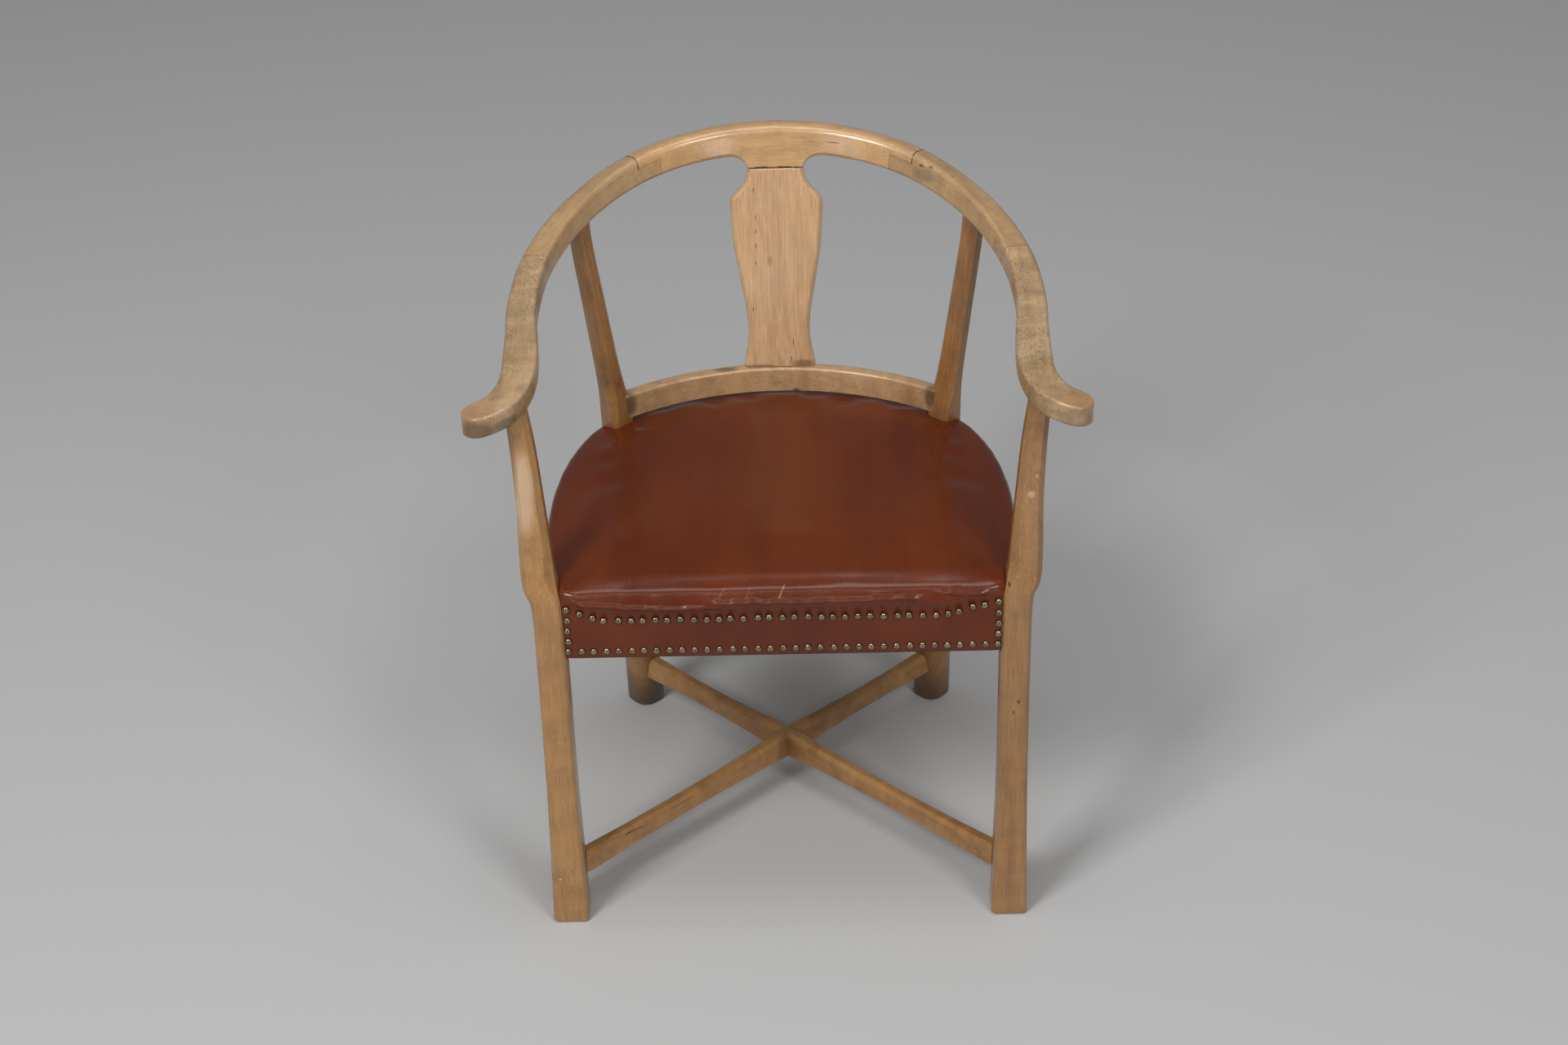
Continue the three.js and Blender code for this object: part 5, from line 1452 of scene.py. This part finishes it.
# %% [markdown]
# ## The stuffing
# Under the hide lies the crowned stuffing in its canvas cover. Only its underside shows, between the straps.

# %% Stuffing
stuffing = finished("stuffing_pad", crowned(frame_top - 6, 7, 7))
stuffing_mesh = stuffing.modifiers.new("even mesh", "REMESH")
stuffing_mesh.mode = "VOXEL"
stuffing_mesh.voxel_size = 6 * MM
applied(stuffing)
cut_by(stuffing, leg_cutters(1.5))
opened_below(stuffing, strap_level + strap_wave + strap_thickness / 2 + 0.4, True)
canvas = Recipe("stuffing canvas")
cloth_point = canvas.position()
canvas_weave = canvas.woven(cloth_point, 320.0, 1.0)
canvas_spots = canvas.noise(cloth_point, 18.0, 4.0)
canvas_tone = canvas_weave * 0.5 + canvas_spots * 0.5
canvas_cloth = canvas.finish(
    Base_Color=canvas.mix(canvas_tone, linear(176, 162, 128), linear(214, 204, 176)),
    Roughness=0.95,
    Normal=canvas.bump(canvas_weave, 0.4, 0.0006),
)
stand_for(stuffing, canvas_cloth, "stuffing", "seat_padding")
print("stuffing:", len(stuffing.data.polygons), "faces")

# %% [markdown]
# ## Domed nails
# Each head is a shallow dome about 8 mm wide: the upper half of a sphere, pressed flat. The rows are a
# little uneven, as hand-driven nails are. Old brass is dark between the marks of rubbing.

# %% Nails
nail_radius = 4
nail_height = 2.5
brass = Recipe("aged brass")
brass_point = brass.position()
tarnish = brass.noise(brass_point, 170.0, 4.0, 0.6)
age = brass.between(tarnish, 0.35, 0.68)
aged_brass = brass.finish(
    Base_Color=brass.mix(age, linear(118, 110, 86), linear(158, 148, 118)),
    Metallic=0.95,
    Roughness=brass.between(tarnish, 0.3, 0.7, 0.22, 0.16),
)


def nail_row(name, node, places):
    """Each place is a point on the hide and the way out of it."""
    mesh = bmesh.new()
    for point, outward in places:
        tilt = Vector([off_by(0.07) for _ in range(3)])
        turn = (outward + tilt).to_track_quat("Z", "Y").to_matrix().to_4x4()
        size = Matrix.Diagonal((1, 1, nail_height / nail_radius, 1))
        spot = Matrix.Translation(place(*point) + outward * 0.3 * MM) @ turn
        made = bmesh.ops.create_uvsphere(
            mesh, u_segments=14, v_segments=10, radius=nail_radius * MM, matrix=spot @ size
        )["verts"]
        edges = {edge for vert in made for edge in vert.link_edges}
        faces = {face for vert in made for face in vert.link_faces}
        bmesh.ops.bisect_plane(
            mesh, geom=made + list(edges) + list(faces), dist=1e-6, plane_co=spot.translation,
            plane_no=turn.to_3x3() @ UP, clear_inner=True,
        )
    bmesh.ops.holes_fill(mesh, edges=[edge for edge in mesh.edges if edge.is_boundary])
    bmesh.ops.recalc_face_normals(mesh, faces=mesh.faces)
    row = finished(name, mesh)
    return stand_for(row, aged_brass, "nail_brass", node)


forward = Vector((0, -1, 0))
nail_row("nail_heads_top", "front_nails_top", [((x, seat_front, z), forward) for x, z in top_nails])
nail_row("nail_heads_bottom", "front_nails_bottom", [((x, seat_front, z), forward) for x, z in bottom_nails])
column_heights = steps_between(nail_bottom_row, top_row_height(nail_line_x), 4)[1:-1]
for name, side in (("right", 1), ("left", -1)):
    places = [((side * (nail_line_x + off_by(0.8)), seat_front, z), forward) for z in column_heights]
    nail_row(f"nail_heads_{name}", f"front_nails_{name}", places)

side_ts = steps_between(0, 1, 300)
side_lengths = [0.0]
for first, second in zip(side_ts, side_ts[1:]):
    side_lengths.append(side_lengths[-1] + (side_point(second)[0] - side_point(first)[0]).length)
nail_pitch = 13.3
side_count = round((side_lengths[-1] - 18) / nail_pitch)
for name, side in (("right", 1), ("left", -1)):
    places = []
    for run in steps_between(12, side_lengths[-1] - 6, side_count):
        point, way = side_point(float(np.interp(run, side_lengths, side_ts)))
        outward = Vector((way.y * side, -way.x, 0))
        places.append(((point.x * side, point.y, nail_bottom_row + off_by(0.4)), outward))
    nail_row(f"nail_heads_side_{name}", f"side_nails_{name}", places)
low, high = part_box("rear_nails")
rear_reach = math.asin((high[0] / MM - nail_radius) / arc_radius)
rear_count = round(2 * rear_reach * arc_radius / nail_pitch)
rear_places = []
for angle in steps_between(-rear_reach, rear_reach, rear_count):
    outward = Vector((math.sin(angle), math.cos(angle), 0))
    point = (arc_radius * outward.x, arc_centre_y + arc_radius * outward.y, nail_bottom_row)
    rear_places.append((point, outward))
nail_row("nail_heads_rear", "rear_nails", rear_places)
print("nails in the rear row:", len(rear_places))

# %% [markdown]
# ## Floor
# One large sheet curves up behind the chair. It is lit like everything else, and it is darker where the chair
# keeps the light off.

# %% Floor and backdrop
mesh = bmesh.new()
edge = [mesh.verts.new((-9, -6, 0)), mesh.verts.new((9, -6, 0))]
line = mesh.edges.new(edge)
sweep_start = 3.2
sweep_radius = 2.2
backdrop_top = (5.6, 6)
profile = [(sweep_start, 0)]
for angle in steps_between(0.1, 1.5, 14):
    rise = sweep_radius - sweep_radius * math.cos(angle)
    profile.append((sweep_start + sweep_radius * math.sin(angle), rise))
profile.append(backdrop_top)
last = line
for y, z in profile:
    made = bmesh.ops.extrude_edge_only(mesh, edges=[last])["geom"]
    last = next(item for item in made if isinstance(item, bmesh.types.BMEdge))
    for vert in last.verts:
        vert.co.y, vert.co.z = y, z
bmesh.ops.recalc_face_normals(mesh, faces=mesh.faces)
floor = finished("studio_floor", mesh)
floor_paper = Recipe("grey paper")
floor.data.materials.append(floor_paper.finish(Base_Color=linear(192, 192, 192), Roughness=0.9))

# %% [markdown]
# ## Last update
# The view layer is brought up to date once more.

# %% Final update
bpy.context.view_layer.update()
